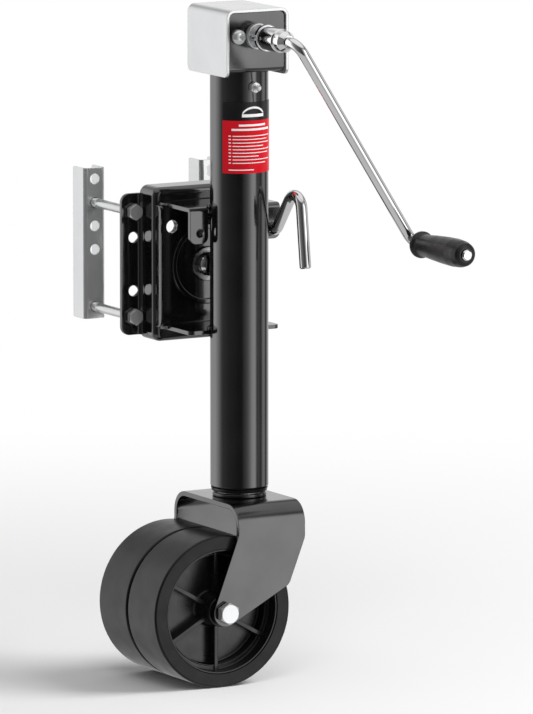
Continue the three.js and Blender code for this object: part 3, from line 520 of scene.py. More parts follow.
RED = material("label_red", (0.58, 0.003, 0.012), 0.34, mottle=0.07, wear=0.05, grain=500.0,
               bump=0.02, specular=0.14)
LABEL_BLACK = material("label_black", (0.006, 0.006, 0.0065), 0.30, mottle=0.15, wear=0.05,
                       grain=500.0, bump=0.02, specular=0.3)
PRINT = material("label_print", (0.80, 0.80, 0.80), 0.4, mottle=0.04, wear=0.05, grain=500.0,
                 bump=0.02, specular=0.25)


# ---- mount bracket ----
def mount_bracket():
    """A pan with a flat web across its front, and a flange with a row of holes on each side."""
    low, high = span("mount_bracket")
    pan_x = 56.6  # half the pan's width
    face_y = low.y
    corner, bend = 9.0, 6.0
    profile = rounded(
        [(bend + 0.5, face_y), (0, face_y, bend), (0, 0, 0.6), (SHEET, 0, 0.6),
         (SHEET, face_y + SHEET, bend - SHEET), (bend + 0.5, face_y + SHEET)],
        closed=False,
    )
    rings = []
    for inset, y in profile:
        loop = rounded_box(-pan_x + inset, pan_x - inset, low.z + inset, high.z - inset,
                           max(corner - inset, 2.4))
        rings.append([Vector((p.x, y, p.y)) for p in loop])
    pan = loft(rings, close=True)

    inset = bend + 0.4
    face = rounded_box(-pan_x + inset, pan_x - inset, low.z + inset, high.z - inset, 2.6)
    holes = [circle(0, 0, PIVOT_R + 0.4)]
    holes += [circle(x, z, LOCK_HOLE_R) for x in (-LOCK_X, LOCK_X) for z in (-LOCK_X, LOCK_X)]
    verts, faces = plate(face, holes, SHEET, 0.35)
    web = ([Vector((v.x, face_y + v.z, v.y)) for v in verts], faces)

    shells = [pan, web]
    half_z = 70.2
    inner_hole_z = 26.5
    for side in (-1, 1):
        wall = side * (pan_x + 0.05)
        corners = [(side * high.x, -SHEET), (wall, -SHEET), (wall, -4 * SHEET)]
        if side < 0:
            corners.reverse()
        path = Fold(corners, 5.0)
        outer, inner = (0, path.length) if side > 0 else (path.length, 0)
        outline = rounded([
            (outer, -half_z, corner), (outer, half_z, corner), (inner, half_z, 4),
            (inner, -half_z, 4),
        ])
        from_edge = high.x - RAIL_BOLT.x
        at = from_edge if side > 0 else path.length - from_edge
        rows = (-RAIL_BOLT.z, -inner_hole_z, inner_hole_z, RAIL_BOLT.z)
        holes = [circle(at, z, RAIL_HOLE_R, 32) for z in rows]
        shells.append(folded(path, outline, holes, SHEET, EDGE, lambda a, b, q: (a, b, q)))
    return shells


piece("mount_bracket_shell", mount_bracket(), BLACK, "mount", ["mount_bracket"])

# ---- backing channels ----
CHANNEL_SHEET = 3.0
HOLE_PITCH = 23.5
for hand in ("left", "right"):
    node = f"backing_channel_{hand}"
    low, high = span(node)
    path = Fold([(high.x, high.y), (high.x, low.y), (low.x, low.y), (low.x, high.y)], 4.5)
    half = path.length / 2
    outline = rounded_box(0, path.length, low.z, high.z, 2)
    levels = [RAIL_BOLT.z + HOLE_PITCH * k for k in (1, 0, -1, -2)] + [-RAIL_BOLT.z]
    holes = [circle(half, z, RAIL_HOLE_R, 32) for z in levels]
    shell = folded(path, outline, holes, CHANNEL_SHEET, 0.4, lambda a, b, q: (a, b, q))
    piece(f"{node}_shell", [shell], ZINC, "mount", [node])

# ---- rail bolts and nuts ----
RAIL_SHANK_R = 4.75
THREAD_START = 14.0  # how far in front of its nut each thread starts
for row in ("upper", "lower"):
    for hand in ("left", "right"):
        bolt, nut = f"rail_bolt_{row}_{hand}", f"rail_nut_{row}_{hand}"
        low, high = span(bolt)
        centre = middle(bolt)
        nut_low, nut_high = span(nut)
        half_width = (high.x - low.x) / 2
        head_foot = -SHEET - GAP
        thread = nut_low.y - THREAD_START
        x, z = centre.x, centre.z
        shells = [
            hexagon(x, z, low.y, head_foot - 0.5, half_width),
            rod(x, z, head_foot - 0.6, head_foot, half_width * 0.95, 48),
            rod(x, z, head_foot - 1, thread, RAIL_SHANK_R, 40),
            threaded(x, z, thread - 0.2, high.y, RAIL_SHANK_R, pitch=1.6, depth=0.55),
        ]
        piece(f"{bolt}_shell", shells, ZINC, "mount", [bolt])
        shell = hexagon(x, z, nut_high.y, nut_low.y, half_width, RAIL_SHANK_R + 0.15, both=True)
        piece(f"{nut}_shell", [shell], ZINC, "mount", [nut])

# ---- swing pivot ----
low, high = span("pivot_bolt")
head_y = span("pivot_washer")[0].y - GAP
head_r = (high.x - low.x) / 2
thread = -26.0
profile = [(0, low.y), *dome(head_r, head_y - 1.5, 7, 10), (head_r, head_y), (PIVOT_R, head_y),
           (PIVOT_R, thread), (0, thread)]
shells = [
    turned(profile, "Y", (0, 0), 72),
    threaded(0, 0, thread - 0.2, high.y, PIVOT_R, pitch=2.0, depth=0.7),
]
piece("pivot_bolt_shell", shells, CHROME, "mount", ["pivot_bolt"])
low, high = span("pivot_washer")
washer_bore = PIVOT_R + 0.4
washer = rounded([(washer_bore, low.y), (high.x, low.y, 0.8), (high.x, high.y, 0.5),
                  (washer_bore, high.y)])
piece("pivot_washer_shell", [turned(washer, "Y", (0, 0))], STEEL, "mount", ["pivot_washer"])
low, high = span("pivot_nut")
shell = hexagon(0, 0, high.y, low.y, 12.0, PIVOT_R + 0.2, both=True)
piece("pivot_nut_shell", [shell], ZINC, "mount", ["pivot_nut"])


# ---- swivel bracket ----
def swivel_bracket():
    """One folded sheet: two front tabs, a top shelf, the back web and a bottom shelf. The shelves
    are notched round the tube, and each side of the web ends in a lip."""
    low, high = span("swivel_bracket")
    plate_half, half = high.x, 50.5  # half-widths of the web and of the shelves
    tab_inner, tab_low = 30.0, 28.5
    back, front = high.y, low.y
    path = Fold(
        [(front, tab_low), (front, high.z), (back, high.z), (back, low.z), (front, low.z)], 5.0
    )
    notch_r = TUBE_R + 0.4
    web_half = plate_half - 4.5
    lip_depth = 14.0

    def notch(to_s, y_start, reverse):
        """Points round the tube, from x < 0 to x > 0, from a shelf whose edge is at y_start."""
        first = math.asin((y_start - TUBE_Y) / notch_r)
        loop = []
        for k in range(25):
            t = first + (math.pi - 2 * first) * k / 24
            loop.append(Vector((to_s(TUBE_Y + notch_r * math.sin(t)), -notch_r * math.cos(t))))
        return loop[::-1] if reverse else loop

    def top_s(y):
        return path.mark(1, y - front)

    def bottom_s(y):
        return path.mark(3, back - y)

    slot_y = front + 5.2
    near_web, past_web = top_s(back - lip_depth), bottom_s(back - lip_depth)
    left = rounded([
        (top_s(slot_y), -tab_inner, 2), (0, -tab_inner, 7), (0, -half, 7),
        (near_web, -half, 3), (near_web + 6, -web_half), (past_web - 6, -web_half),
        (past_web, -half, 3), (path.length, -half, 6), (path.length, 0),
    ], closed=False)[:-1]
    right = [Vector((p.x, -p.y)) for p in reversed(left)]
    outline = left + notch(bottom_s, front + 0.01, False) + right + notch(top_s, slot_y, True)
    tab_s, web_s = path.mark(0, LOCK_X - tab_low), path.mark(2, high.z - LOCK_X)
    holes = [circle(tab_s, -LOCK_X, 4.2), circle(tab_s, LOCK_X, LOCK_HOLE_R)]
    holes += [circle(web_s, side * LOCK_X, LOCK_HOLE_R) for side in (-1, 1)]
    holes.append(circle(path.mark(2, high.z), 0, PIVOT_R + 0.2))
    shells = [folded(path, outline, holes, SHEET, EDGE, lambda a, b, q: (q, a, b))]

    lip_z = (low.z + 2.5, high.z - 2.5)
    lip_end = 48.0  # inside the web, clear of the pin
    for side in (-1, 1):
        hidden = back - 0.04
        edge = side * plate_half
        corners = [(edge, back - lip_depth), (edge, hidden), (side * lip_end, hidden)]
        if side > 0:
            corners.reverse()
        lip = Fold(corners, 5.0)
        outline = rounded_box(0, lip.length, *lip_z, 6)
        shells.append(folded(lip, outline, [], SHEET - 0.08, EDGE, lambda a, b, q: (a, b, q)))
    web_front = back - SHEET
    bead = rounded([(34.5, web_front + 1), (34.5, web_front - 2, 1.2), (40, web_front - 2, 1.2),
                    (40, web_front + 1)])
    shells.append(turned(bead, "Y", (0, 0)))
    return shells


piece("swivel_bracket_shell", swivel_bracket(), BLACK, "jack", ["swivel_bracket"])


# ---- outer tube, weld beads, label, grease fitting, lower guide bush ----
def weld_bead(z):
    """A rippled bead where the swivel bracket's shelf meets the tube's rear."""
    route_r = TUBE_R + 0.9
    rings = []
    steps, sides = 132, 10
    for i in range(steps + 1):
        turn = math.radians(20 + 140 * i / steps)
        out = Vector((math.cos(turn), math.sin(turn), 0))
        size = 2.0 + 0.28 * math.cos(i * math.tau / 4)
        size *= min(1.0, 0.25 + i / 5, 0.25 + (steps - i) / 5)
        centre = Vector((0, TUBE_Y, z)) + out * route_r
        rings.append([
            centre + (out * math.cos(a) + Vector((0, 0, 1)) * math.sin(a)) * size
            for a in (math.tau * k / sides for k in range(sides))
        ])
    return loft(rings, close=False, caps=True)


tube = rounded([
    (BORE, TUBE_LOW.z, 0.8), (TUBE_R, TUBE_LOW.z, 2.2), (TUBE_R, TUBE_HIGH.z), (BORE, TUBE_HIGH.z),
])
swivel_low, swivel_high = span("swivel_bracket")
shells = [turned(tube, "Z", (0, TUBE_Y), 160)]
shells += [weld_bead(z) for z in (swivel_high.z + 0.2, swivel_high.z - SHEET - 0.6,
                                  swivel_low.z - 0.2, swivel_low.z + SHEET + 0.6)]
piece("outer_tube_shell", shells, BLACK, "jack", ["outer_tube"])


def wrapped(outline, lift, thickness):
    """A thin plate outlined in (arc length, z), wrapped round the tube's front."""
    radius = TUBE_R + lift
    verts, faces = plate(outline, [], thickness, thickness * 0.3)
    reach = max(abs(p.x) for p in outline)
    count = max(1, math.ceil(reach / 2))
    cuts = [reach * k / count for k in range(-count, count + 1)]

    def move(v):
        turn = v.x / TUBE_R
        r = radius + v.z
        return Vector((r * math.sin(turn), TUBE_Y - r * math.cos(turn), v.y))

    return bent(verts, faces, cuts, move)


LABEL_LOW, LABEL_HIGH = span("label_band")
FILM = 0.25  # thickness of the label
label_half = TUBE_R * math.radians(63.3)
label_split = LABEL_HIGH.z - 18
strip = rounded_box(-label_half, label_half, LABEL_LOW.z, label_split, 0.8)
piece("label_red_field", [wrapped(strip, GAP, FILM)], RED, "jack", ["label_band"])
strip = rounded_box(-label_half, label_half, label_split, LABEL_HIGH.z, 0.8)
piece("label_black_field", [wrapped(strip, GAP, FILM)], LABEL_BLACK, "jack", [])


def label_print():
    """White rules in place of the printed lines, and a plain arch over a bar as a generic mark."""
    lift, ink = GAP + FILM - 0.03, 0.1
    shells = []

    def bar(x0, x1, z0, z1):
        shells.append(wrapped(rounded_box(x0, x1, z0, z1, 0), lift, ink))

    top = label_split
    bar(-15, 15, top - 5.6, top - 3.6)
    bar(-22, 22, top - 9.8, top - 7.8)
    for i, share in enumerate((1.0, 0.88, 0.96, 0.74, 1.0, 0.92, 0.6, 0.98, 0.82)):
        z = top - 15.5 - 3.3 * i
        bar(-25, -22.6, z, z + 1.0)
        bar(-21, -21 + 44 * share, z, z + 0.8)
    bar(-25, 0, LABEL_LOW.z + 3, LABEL_LOW.z + 4)
    turns = [math.radians(25 + 130 * k / 20) for k in range(21)]
    outer = [Vector((13 * math.cos(t), top + 3.2 + 10.5 * math.sin(t))) for t in turns]
    inner = [Vector((12.4 * math.cos(t), top + 2.4 + 9.2 * math.sin(t))) for t in turns]
    shells.append(wrapped(outer + inner[::-1], lift, ink))
    bar(-12, 12, top + 3.4, top + 6.4)
    return shells


piece("label_print_lines", label_print(), PRINT, "jack", [])

low, high = span("grease_fitting")
z = (low.z + high.z) / 2
nipple = rounded([
    (0, low.y), (1.6, low.y), (2.2, low.y + 0.8), (3.2, low.y + 1.9, 0.5), (2.3, low.y + 3.4, 0.5),
    (2.3, low.y + 6.6), (3.9, low.y + 7.6), (3.9, high.y), (0, high.y),
], closed=False)
foot = TUBE_Y - TUBE_R - GAP
shells = [turned(nipple, "Y", (0, z), 40), hexagon(0, z, foot - 4.6, foot, 4.85)]
piece("grease_fitting_shell", shells, ZINC, "jack", ["grease_fitting"])

low, high = span("guide_bush_lower")
bush = rounded([
    (23.6, low.z, 0.6), (high.x - 0.9, low.z, 1.4), (high.x, TUBE_LOW.z - GAP),
    (BORE - GAP, TUBE_LOW.z - GAP), (BORE - GAP, high.z), (23.6, high.z),
])
piece("guide_bush_shell", [turned(bush, "Z", (0, TUBE_Y), 128)], MOULDING, "jack",
      ["guide_bush_lower"])

# ---- head cover and gear case ----
COVER_SHEET, CASE_SHEET = 3.0, 3.2
path = Fold([(COVER_LOW.x, COVER_LOW.z), (COVER_LOW.x, COVER_HIGH.z), (COVER_HIGH.x, COVER_HIGH.z),
             (COVER_HIGH.x, COVER_LOW.z)], 8.0)
outline = rounded_box(0, path.length, COVER_LOW.y, COVER_HIGH.y, 6)
shell = folded(path, outline, [], COVER_SHEET, 0.55, lambda a, b, q: (a, q, b))
piece("head_cover_shell", [shell], ZINC, "jack", ["head_cover"])

path = Fold([(CASE_HIGH.y, CASE_HIGH.z), (CASE_HIGH.y, CASE_LOW.z), (CASE_LOW.y, CASE_LOW.z),
             (CASE_LOW.y, CASE_HIGH.z)], 5.0)
outline = rounded_box(0, path.length, CASE_LOW.x, CASE_HIGH.x, 6)
up = SHAFT_Z - CASE_LOW.z
screw_x = middle("case_screw_right").x
front_s = path.mark(2, up)
holes = [circle(path.mark(0, CASE_HIGH.z - SHAFT_Z), 0, 9.6), circle(front_s, 0, 9.6),
         circle(path.mark(1, CASE_HIGH.y - TUBE_Y), 0, 10)]
holes += [circle(front_s, side * screw_x, 4.1) for side in (-1, 1)]
shell = folded(path, outline, holes, CASE_SHEET, EDGE, lambda a, b, q: (q, a, b))
piece("gear_case_shell", [shell], PLATED, "jack", ["gear_case"])

for hand in ("left", "right"):
    node = f"case_screw_{hand}"
    low, high = span(node)
    centre = middle(node)
    under = CASE_LOW.y - GAP
    head_r = (high.x - low.x) / 2
    rim = under - 1.2
    profile = [(0, low.y), *dome(head_r, rim, rim - low.y, 9), (head_r, under), (3.8, under),
               (3.8, high.y), (0, high.y)]
    piece(f"{node}_shell", [turned(profile, "Y", (centre.x, centre.z), 56)], ZINC, "jack", [node])

SHAFT_R = 5.5
low, high = span("shaft_bush_front")
flange_r = (high.x - low.x) / 2
bush_bore = SHAFT_R + 0.1
bush = rounded([
    (bush_bore, low.y, 0.5), (flange_r, low.y, 1.2), (flange_r, CASE_LOW.y - GAP, 0.4),
    (9.3, CASE_LOW.y - GAP), (9.3, high.y), (bush_bore, high.y),
])
piece("shaft_bush_front_shell", [turned(bush, "Y", (0, SHAFT_Z))], ZINC, "jack",
      ["shaft_bush_front"])

# ---- drive shaft, cross pin and collar ----
low, high = span("drive_shaft")
hex_half = (high.x - low.x) / 2
hex_start = span("shaft_collar")[0].y - GAP
profile = rounded([(0, high.y), (SHAFT_R, high.y, 0.8), (SHAFT_R, hex_start - 2),
                   (0, hex_start - 2)], closed=False)
shells = [turned(profile, "Y", (0, SHAFT_Z), 64), hexagon(0, SHAFT_Z, low.y, hex_start, hex_half)]
piece("drive_shaft_shell", shells, CHROME, "drive", ["drive_shaft"])
low, high = span("drive_pin")
y = (low.y + high.y) / 2
route = [Vector((low.x, y, SHAFT_Z)), Vector((high.x, y, SHAFT_Z))]
piece("drive_pin_shell", [rod_along(route, 2.6, 28, 0.6)], STEEL, "drive", ["drive_pin"])
low, high = span("shaft_collar")
collar_r = (high.x - low.x) / 2
collar_bore = SHAFT_R + GAP
collar = rounded([(collar_bore, low.y, 0.4), (collar_r, low.y, 1.3), (collar_r, high.y, 1.3),
                  (collar_bore, high.y, 0.4)])
piece("shaft_collar_shell", [turned(collar, "Y", (0, SHAFT_Z))], CHROME, "drive",
      ["shaft_collar"])


# ---- caster fork ----
AXLE_R = 6.35
KINGPIN_R = 8.0
FORK_SHEET = 4.8


def fork():
    """A strap folded over the wheels. Each leg sweeps back from the kingpin to a round end."""
    inner_x = FORK_HIGH.x
    end_r = AXLE.z - FORK_LOW.z
    low_z = FORK_LOW.z
    axle = Vector((AXLE.x, AXLE.z))
    neck = Vector((-inner_x, AXLE.z + 74))
    heel = Vector((19.6, AXLE.z + 22.2))

    def touch(point, side):
        away = point - axle
        return math.atan2(away.y, away.x) + side * math.acos(end_r / away.length)

    start, stop = touch(neck, 1), touch(heel, -1) + math.tau
    arc = [axle + Vector((math.cos(t), math.sin(t))) * end_r for t in
           (start + (stop - start) * k / 26 for k in range(27))]
    shoulder = rounded([
        tuple(arc[-1]), (*heel, 11), (inner_x, AXLE.z + 67.4, 14), (inner_x, AXLE.z + 84),
    ], closed=False)
    neck_arc = rounded([(-inner_x, AXLE.z + 90), (*neck, 10), tuple(arc[0])], closed=False)
    leg = neck_arc[:-1] + arc + shoulder[1:]
    path = Fold([(FORK_LOW.y, low_z), (FORK_LOW.y, FORK_HIGH.z), (FORK_HIGH.y, FORK_HIGH.z),
                 (FORK_HIGH.y, low_z)], 21.0)
    near = [Vector((p.y - low_z, p.x)) for p in leg]
    far = [Vector((path.length - p.x, p.y)) for p in reversed(near)]
    holes = [circle(s, axle.x, AXLE_R + GAP) for s in (end_r, path.length - end_r)]
    holes.append(circle(path.length / 2, 0, KINGPIN_R + 0.1))
    return folded(path, near + far, holes, FORK_SHEET, 0.6, lambda a, b, q: (q, a, b))


piece("fork_shell", [fork()], PLATED, "caster", ["fork"])
low, high = span("swivel_washer")
washer_bore = KINGPIN_R + GAP
washer = rounded([(washer_bore, low.z), (high.x, low.z, 0.8), (high.x, high.z, 1.0),
                  (washer_bore, high.z)])
piece("swivel_washer_shell", [turned(washer, "Z", (0, TUBE_Y), 128)], PLATED, "caster",
      ["swivel_washer"])

low, high = span("axle_bolt")
half_width = (high.x - low.x) / 2
head_foot = FORK_LOW.y - GAP
nut_low, nut_high = span("axle_nut")
shells = [
    hexagon(AXLE.x, AXLE.z, low.y, head_foot - 0.7, half_width),
    rod(AXLE.x, AXLE.z, head_foot - 0.8, head_foot, half_width * 0.95, 56),
    rod(AXLE.x, AXLE.z, head_foot - 1, FORK_HIGH.y - 2, AXLE_R, 56),
    threaded(AXLE.x, AXLE.z, FORK_HIGH.y - 2.2, high.y, AXLE_R, pitch=1.9, depth=0.6),
]
piece("axle_bolt_shell", shells, ZINC, "caster", ["axle_bolt"])
shell = hexagon(AXLE.x, AXLE.z, nut_high.y, nut_low.y, half_width, AXLE_R + 0.15, both=True)
piece("axle_nut_shell", [shell], ZINC, "caster", ["axle_nut"])


# ---- wheels ----
def wheel(name):
    """A tyre round a moulded core, whose web stands in the middle with six ribs across it."""
    low, high = span(f"tyre_{name}")
    wheel_r = (high.z - low.z) / 2
    tread_r = 61.5
    at = (AXLE.x, AXLE.z)
    tyre = rounded([(tread_r, low.y, 0.5), (wheel_r, low.y, 2.2), (wheel_r, high.y, 2.2),
                    (tread_r, high.y, 0.5)])
    body = f"wheel_{name}"
    shell = turned(tyre, "Y", at, 192)
    piece(f"tyre_{name}_shell", [shell], TREAD, body, [f"tyre_{name}"])

    centre = (low.y + high.y) / 2
    wall_r, shoulder_r, shoulder, web = 59.6, 54.5, 14.0, 4.0
    hub_r, hub_in = 15.0, 9.8
    rim_out = tread_r - GAP
    near_half = [
        (hub_in, low.y + 0.5, 0.4), (hub_r, low.y + 0.5, 1.2), (hub_r + 2, centre - web, 3),
        (shoulder_r, centre - web, 1.5), (shoulder_r, centre - shoulder - 0.8, 0.35),
        (shoulder_r + 1, centre - shoulder - 0.8, 0.35), (shoulder_r + 1, centre - shoulder, 0.4),
        (wall_r, centre - shoulder, 1), (wall_r, low.y + 1, 0.5), (rim_out, low.y + 1, 0.4),
    ]
    far_half = [(r, 2 * centre - y, bend) for r, y, bend in reversed(near_half)]
    core = rounded(near_half + far_half)
    shells = [turned(core, "Y", at, 144)]
    rib_half, rib_width = 2.2, 2 * (shoulder + 1.5)
    for i in range(6):
        turn = math.radians(30 + 60 * i)
        box = rounded_box(hub_r - 3, wall_r + 0.8, -rib_half, rib_half, 0)
        verts, faces = plate(box, [], rib_width, 0.8)
        moved = []
        for v in verts:
            x = v.x * math.cos(turn) - v.y * math.sin(turn)
            z = v.x * math.sin(turn) + v.y * math.cos(turn)
            moved.append(Vector((AXLE.x + x, centre - rib_width / 2 + v.z, AXLE.z + z)))
        shells.append((moved, faces))
    piece(f"wheel_core_{name}_shell", shells, MOULDING, body, [f"wheel_core_{name}"])


wheel("near")
wheel("far")

# ---- pull pin, its collar and its spring ----
pin_low, pin_high = span("pull_pin")
PIN_R = (pin_high.x - pin_low.x) / 2
pin_z = middle("pin_collar").z


def on_pin(forward, z):
    """A point in the pin's plane, at a distance in front of the tube's axis."""
    return (LOCK_X, TUBE_Y - forward, z)


route = filleted([(LOCK_X, pin_high.y, pin_z), on_pin(5, pin_z), on_pin(50.5, 96), on_pin(62, 7.4)],
                 (11, 13))
piece("pull_pin_rod", [rod_along(route, PIN_R, 40, 1.2)], CHROME, "pin", ["pull_pin"])
low, high = span("pin_collar")
collar = rounded([(PIN_R + GAP, low.y), (high.x - LOCK_X, low.y, 0.6),
                  (high.x - LOCK_X, high.y, 0.6), (PIN_R + GAP, high.y)])
piece("pin_collar_shell", [turned(collar, "Y", (LOCK_X, pin_z), 64)], STEEL, "pin", ["pin_collar"])
low, high = span("pin_spring")
wire = 1.0
coil_r = (high.x - low.x) / 2 - wire
turns, per_turn = 7.5, 28
route = []
for k in range(int(turns * per_turn) + 1):
    t = k / (turns * per_turn)
    eased = t + 0.06 * math.sin(math.tau * t)  # the coils lie closer together in the middle than at the ends
    angle = math.tau * turns * t
    route.append(Vector((LOCK_X + coil_r * math.cos(angle),
                         high.y - wire - (high.y - low.y - 2 * wire) * eased,
                         pin_z + coil_r * math.sin(angle))))
spring = piece("pin_spring_coil", [rod_along(route, wire, 14, 0.3)], STEEL, None, ["pin_spring"])
coil_start, coil_end = (Vector((LOCK_X, y, pin_z)) * MM for y in (low.y + 1.5, high.y - 1.5))
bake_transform(spring)
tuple(coil_start)
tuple(coil_end)

# ---- crank ----
low, high = span("crank_socket")
mouth = high.y
socket_r = (high.x - low.x) / 2
neck_r, mouth_r, rod_bore = 10.2, 9.7, 5.5
socket = rounded([
    (mouth_r, mouth, 0.3), (socket_r, mouth, 1.2), (socket_r, mouth - 22.5, 1.0),
    (neck_r, mouth - 23.6, 0.6), (neck_r, low.y + 6, 2.0), (6.6, low.y, 1.0),
    (rod_bore, low.y), (rod_bore, low.y + 8), (mouth_r, mouth - 22),
])
piece("crank_socket_shell", [turned(socket, "Y", (0, SHAFT_Z))], CHROME, "crank",
      ["crank_socket"])
grip_low, grip_high = span("crank_grip")
grip = middle("crank_grip")
ROD_R = 5.4
arm_low, arm_high = span("crank_arm")
plane = TUBE_Y - 115  # the arm's plane
route = filleted([
    (0, arm_high.y, SHAFT_Z), (0, plane, SHAFT_Z), (grip.x, plane - 6, grip.z),
    (grip.x, arm_low.y, grip.z),
], (13, 11.5))
piece("crank_arm_rod", [rod_along(route, ROD_R, 40, 1.4)], CHROME, "crank", ["crank_arm"])
start = grip_high.y
grip_r = (grip_high.x - grip_low.x) / 2
grip_bore = ROD_R + 0.2
shape = [
    (grip_bore, start, 0.4), (13.0, start, 1.2), (13.2, start - 3.6, 1.4),
    (11.0, start - 6.4, 1.8), (11.2, start - 16), (12.3, start - 30, 30), (13.4, start - 50, 40),
    (grip_r, start - 66, 30), (13.0, start - 78, 12), (11.2, start - 84.5, 3),
    (7.4, grip_low.y, 1.2), (grip_bore, grip_low.y, 0.4),
]
piece("crank_grip_shell", [turned(rounded(shape), "Y", (grip.x, grip.z))], RUBBER, "grip",
      ["crank_grip"])

# ---- inner pieces keep their CAD meshes ----
INSIDE = {
    "thrust_bearing": STEEL, "shaft_bush_rear": BRONZE, "bevel_pinion": STEEL,
    "lead_screw": STEEL, "bevel_gear": STEEL, "gear_pin": STEEL, "screw_collar": STEEL,
    "inner_tube": STEEL, "drive_nut": BRONZE, "guide_ring_upper": MOULDING, "kingpin": STEEL,
    "kingpin_nut": ZINC, "wheel_spacer": STEEL, "wheel_sleeve_near": BRONZE,
    "wheel_sleeve_far": BRONZE,
}
for node, finish in INSIDE.items():
    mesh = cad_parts[node].data
    mesh.materials.clear()
    mesh.materials.append(finish)
    mesh.shade_smooth()
    mesh.set_sharp_from_angle(angle=math.radians(28))

# ---- floor, lights and camera ----
FLOOR_Z = cad_box[0][2]


def fade_to_white(finish, near, far):
    """Past a distance from the jack the sheet glows as evenly as a lit backdrop."""
    tree = finish.node_tree
    link = tree.links.new
    place = tree.nodes.new("ShaderNodeTexCoord").outputs["Object"]
    distance = tree.nodes.new("ShaderNodeVectorMath")
    distance.operation = "LENGTH"
    link(place, distance.inputs[0])
    reach = tree.nodes.new("ShaderNodeMapRange")
    reach.interpolation_type = "SMOOTHSTEP"
    reach.inputs["From Min"].default_value = near
    reach.inputs["From Max"].default_value = far
    link(distance.outputs["Value"], reach.inputs["Value"])
    glow = tree.nodes.new("ShaderNodeEmission")
    mixed = tree.nodes.new("ShaderNodeMixShader")
    link(reach.outputs["Result"], mixed.inputs["Fac"])
    link(tree.nodes["Principled BSDF"].outputs["BSDF"], mixed.inputs[1])
    link(glow.outputs["Emission"], mixed.inputs[2])
    link(mixed.outputs["Shader"], tree.nodes["Material Output"].inputs["Surface"])


def pale_floor():
    """A wide flat sheet. It isn't seen in reflections, where the studio's own gradient shows."""
    half = 30.0
    mesh = bpy.data.meshes.new("studio_floor")
    corners = [(-half, -half, 0), (half, -half, 0), (half, half, 0), (-half, half, 0)]
    mesh.from_pydata(corners, [], [(0, 1, 2, 3)])
    made = bpy.data.objects.new("studio_floor", mesh)
    made.location = (-0.05, -0.1, FLOOR_Z)
    made.visible_glossy = False
    bpy.context.scene.collection.objects.link(made)
    finish = material("pale_floor", (0.88, 0.88, 0.88), 0.6, mottle=0.01, wear=0.03, grain=60.0,
                      bump=0.01, patch=0.8, specular=0.0)
    fade_to_white(finish, 0.3, 1.6)
    mesh.materials.append(finish)
    return made


def lies_under(floor, leg):
    """The sheet goes down with the wheels as the leg comes out, and is never above its place."""
    follow = floor.constraints.new("COPY_LOCATION")
    follow.target = leg
    follow.use_x = follow.use_y = False
    follow.use_offset = True
    limit = floor.constraints.new("LIMIT_LOCATION")
    limit.use_max_z = True
    limit.max_z = FLOOR_Z


lies_under(pale_floor(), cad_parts["inner_tube"])


AIM = Vector((0.0306, TUBE_Y * MM, -0.0869))  # what the camera and the lights point at


def light(name, place, energy, size):
    data = bpy.data.lights.new(name, "AREA")
    data.energy = energy
    data.size = size
    made = bpy.data.objects.new(name, data)
    made.location = place
    made.rotation_euler = (AIM - Vector(place)).to_track_quat("-Z", "Y").to_euler()
    made.visible_glossy = False
    bpy.context.scene.collection.objects.link(made)


light("key_soft", (2.3, -1.35, 2.2), 105, 1.9)
light("front_soft", (-1.4, -2.2, 2.4), 25, 1.6)

CAMERA_TURN, CAMERA_RISE = math.radians(-29.62), math.radians(8.67)
TOWARD_CAMERA = Vector((
    math.sin(CAMERA_TURN) * math.cos(CAMERA_RISE),
    -math.cos(CAMERA_TURN) * math.cos(CAMERA_RISE),
    math.sin(CAMERA_RISE),
))
CAMERA_DISTANCE = 8.307
FOCAL_SHARE = 11.87675  # focal length over the frame's height

# The studio as polished metal sees it: a soft light on the left, a stronger one on the right, a
# strip behind the right shoulder, black card between them. Degrees round from the camera's
# direction (right is positive), then brightness as a share of the strongest.
AROUND = (
    (-180, 0.42), (-150, 0.32), (-138, 0.47), (-128, 0.58), (-120, 0.69), (-109, 0.81),
    (-100, 0.70), (-88, 0.51), (-83, 0.36), (-78, 0.24), (-70, 0.11), (-60, 0.088),
    (-42, 0.050), (0, 0.012), (11, 0.018), (17, 0.08), (28, 0.18), (36, 0.32), (44, 0.57),
    (53, 0.93), (66, 1.0), (71, 0.36), (76, 0.14), (81, 0.20), (93, 0.09), (98, 0.09),
    (104, 0.40), (117, 0.44), (124, 0.13), (132, 0.03), (143, 0.40), (180, 0.42),
)
STRONGEST = 2.9
# The share of that light left at each height from -1 straight down to 1 straight up, and the
# light that the floor and the ceiling add.
HEIGHT = ((-1.0, 0.0), (-0.55, 0.0), (-0.35, 1.0), (0.45, 1.0), (0.62, 0.10), (1.0, 0.0))
FLOOR_AND_CEILING = ((-1.0, 0.30), (-0.55, 0.30), (-0.35, 0.0), (0.60, 0.03), (0.76, 0.42),
                     (1.0, 0.50))
DIFFUSE_LIGHT = 0.50  # what matt surfaces get from every side


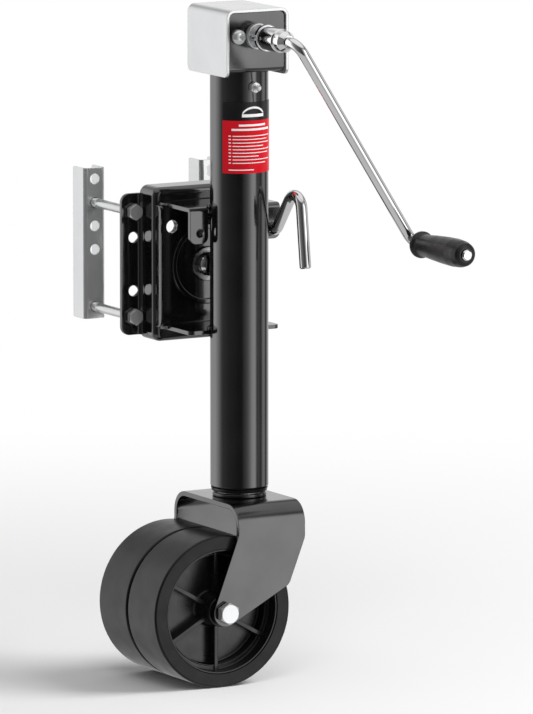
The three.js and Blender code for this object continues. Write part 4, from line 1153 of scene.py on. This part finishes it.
def studio_air():
    """Even light for matt surfaces; polished ones see the lights described above."""
    world = bpy.data.worlds.new("studio_air")
    bpy.context.scene.world = world
    world.use_nodes = True
    tree = world.node_tree
    tree.nodes.clear()
    link = tree.links.new
    direction = tree.nodes.new("ShaderNodeTexCoord").outputs["Generated"]

    def maths(operation, *values):
        node = tree.nodes.new("ShaderNodeMath")
        node.operation = operation
        for socket, value in zip(node.inputs, values):
            if isinstance(value, (int, float)):
                socket.default_value = value
            else:
                link(value, socket)
        return node.outputs["Value"]

    def toward(vector):
        node = tree.nodes.new("ShaderNodeVectorMath")
        node.operation = "DOT_PRODUCT"
        link(direction, node.inputs[0])
        node.inputs[1].default_value = vector
        return node.outputs["Value"]

    def steps(value, low, high, stops):
        """The value mapped through (position, brightness) stops spread from low to high."""
        node = tree.nodes.new("ShaderNodeValToRGB")
        ramp = node.color_ramp
        while len(ramp.elements) < len(stops):
            ramp.elements.new(1.0)
        for element, (position, brightness) in zip(ramp.elements, stops):
            element.position = (position - low) / (high - low)
            element.color = (brightness, brightness, brightness, 1)
        link(value, node.inputs["Fac"])
        return node.outputs["Color"]

    ahead = toward((math.sin(CAMERA_TURN), -math.cos(CAMERA_TURN), 0))
    side = toward((math.cos(CAMERA_TURN), math.sin(CAMERA_TURN), 0))
    azimuth = maths("ADD", maths("DIVIDE", maths("ARCTAN2", side, ahead), math.tau), 0.5)
    height = maths("ADD", maths("MULTIPLY", toward((0, 0, 1)), 0.5), 0.5)
    walls = maths("MULTIPLY", steps(azimuth, -180, 180, AROUND), steps(height, -1, 1, HEIGHT))
    seen = maths("ADD", walls, steps(height, -1, 1, FLOOR_AND_CEILING))
    path = tree.nodes.new("ShaderNodeLightPath")
    mixed = tree.nodes.new("ShaderNodeMix")
    link(path.outputs["Is Glossy Ray"], mixed.inputs["Factor"])
    mixed.inputs["A"].default_value = DIFFUSE_LIGHT
    link(maths("MULTIPLY", seen, STRONGEST), mixed.inputs["B"])
    air = tree.nodes.new("ShaderNodeBackground")
    link(mixed.outputs["Result"], air.inputs["Strength"])
    link(air.outputs["Background"], tree.nodes.new("ShaderNodeOutputWorld").inputs["Surface"])


studio_air()

camera_data = bpy.data.cameras.new("photo_camera")
camera = bpy.data.objects.new("photo_camera", camera_data)
bpy.context.scene.collection.objects.link(camera)
camera_data.sensor_fit = "VERTICAL"
camera_data.sensor_height = 24.0
camera_data.lens = FOCAL_SHARE * camera_data.sensor_height
camera_data.clip_end = 60.0
camera.location = AIM + TOWARD_CAMERA * CAMERA_DISTANCE
camera.rotation_euler = (-TOWARD_CAMERA).to_track_quat("-Z", "Y").to_euler()
bpy.context.scene.camera = camera
bpy.context.scene.view_settings.view_transform = "Standard"
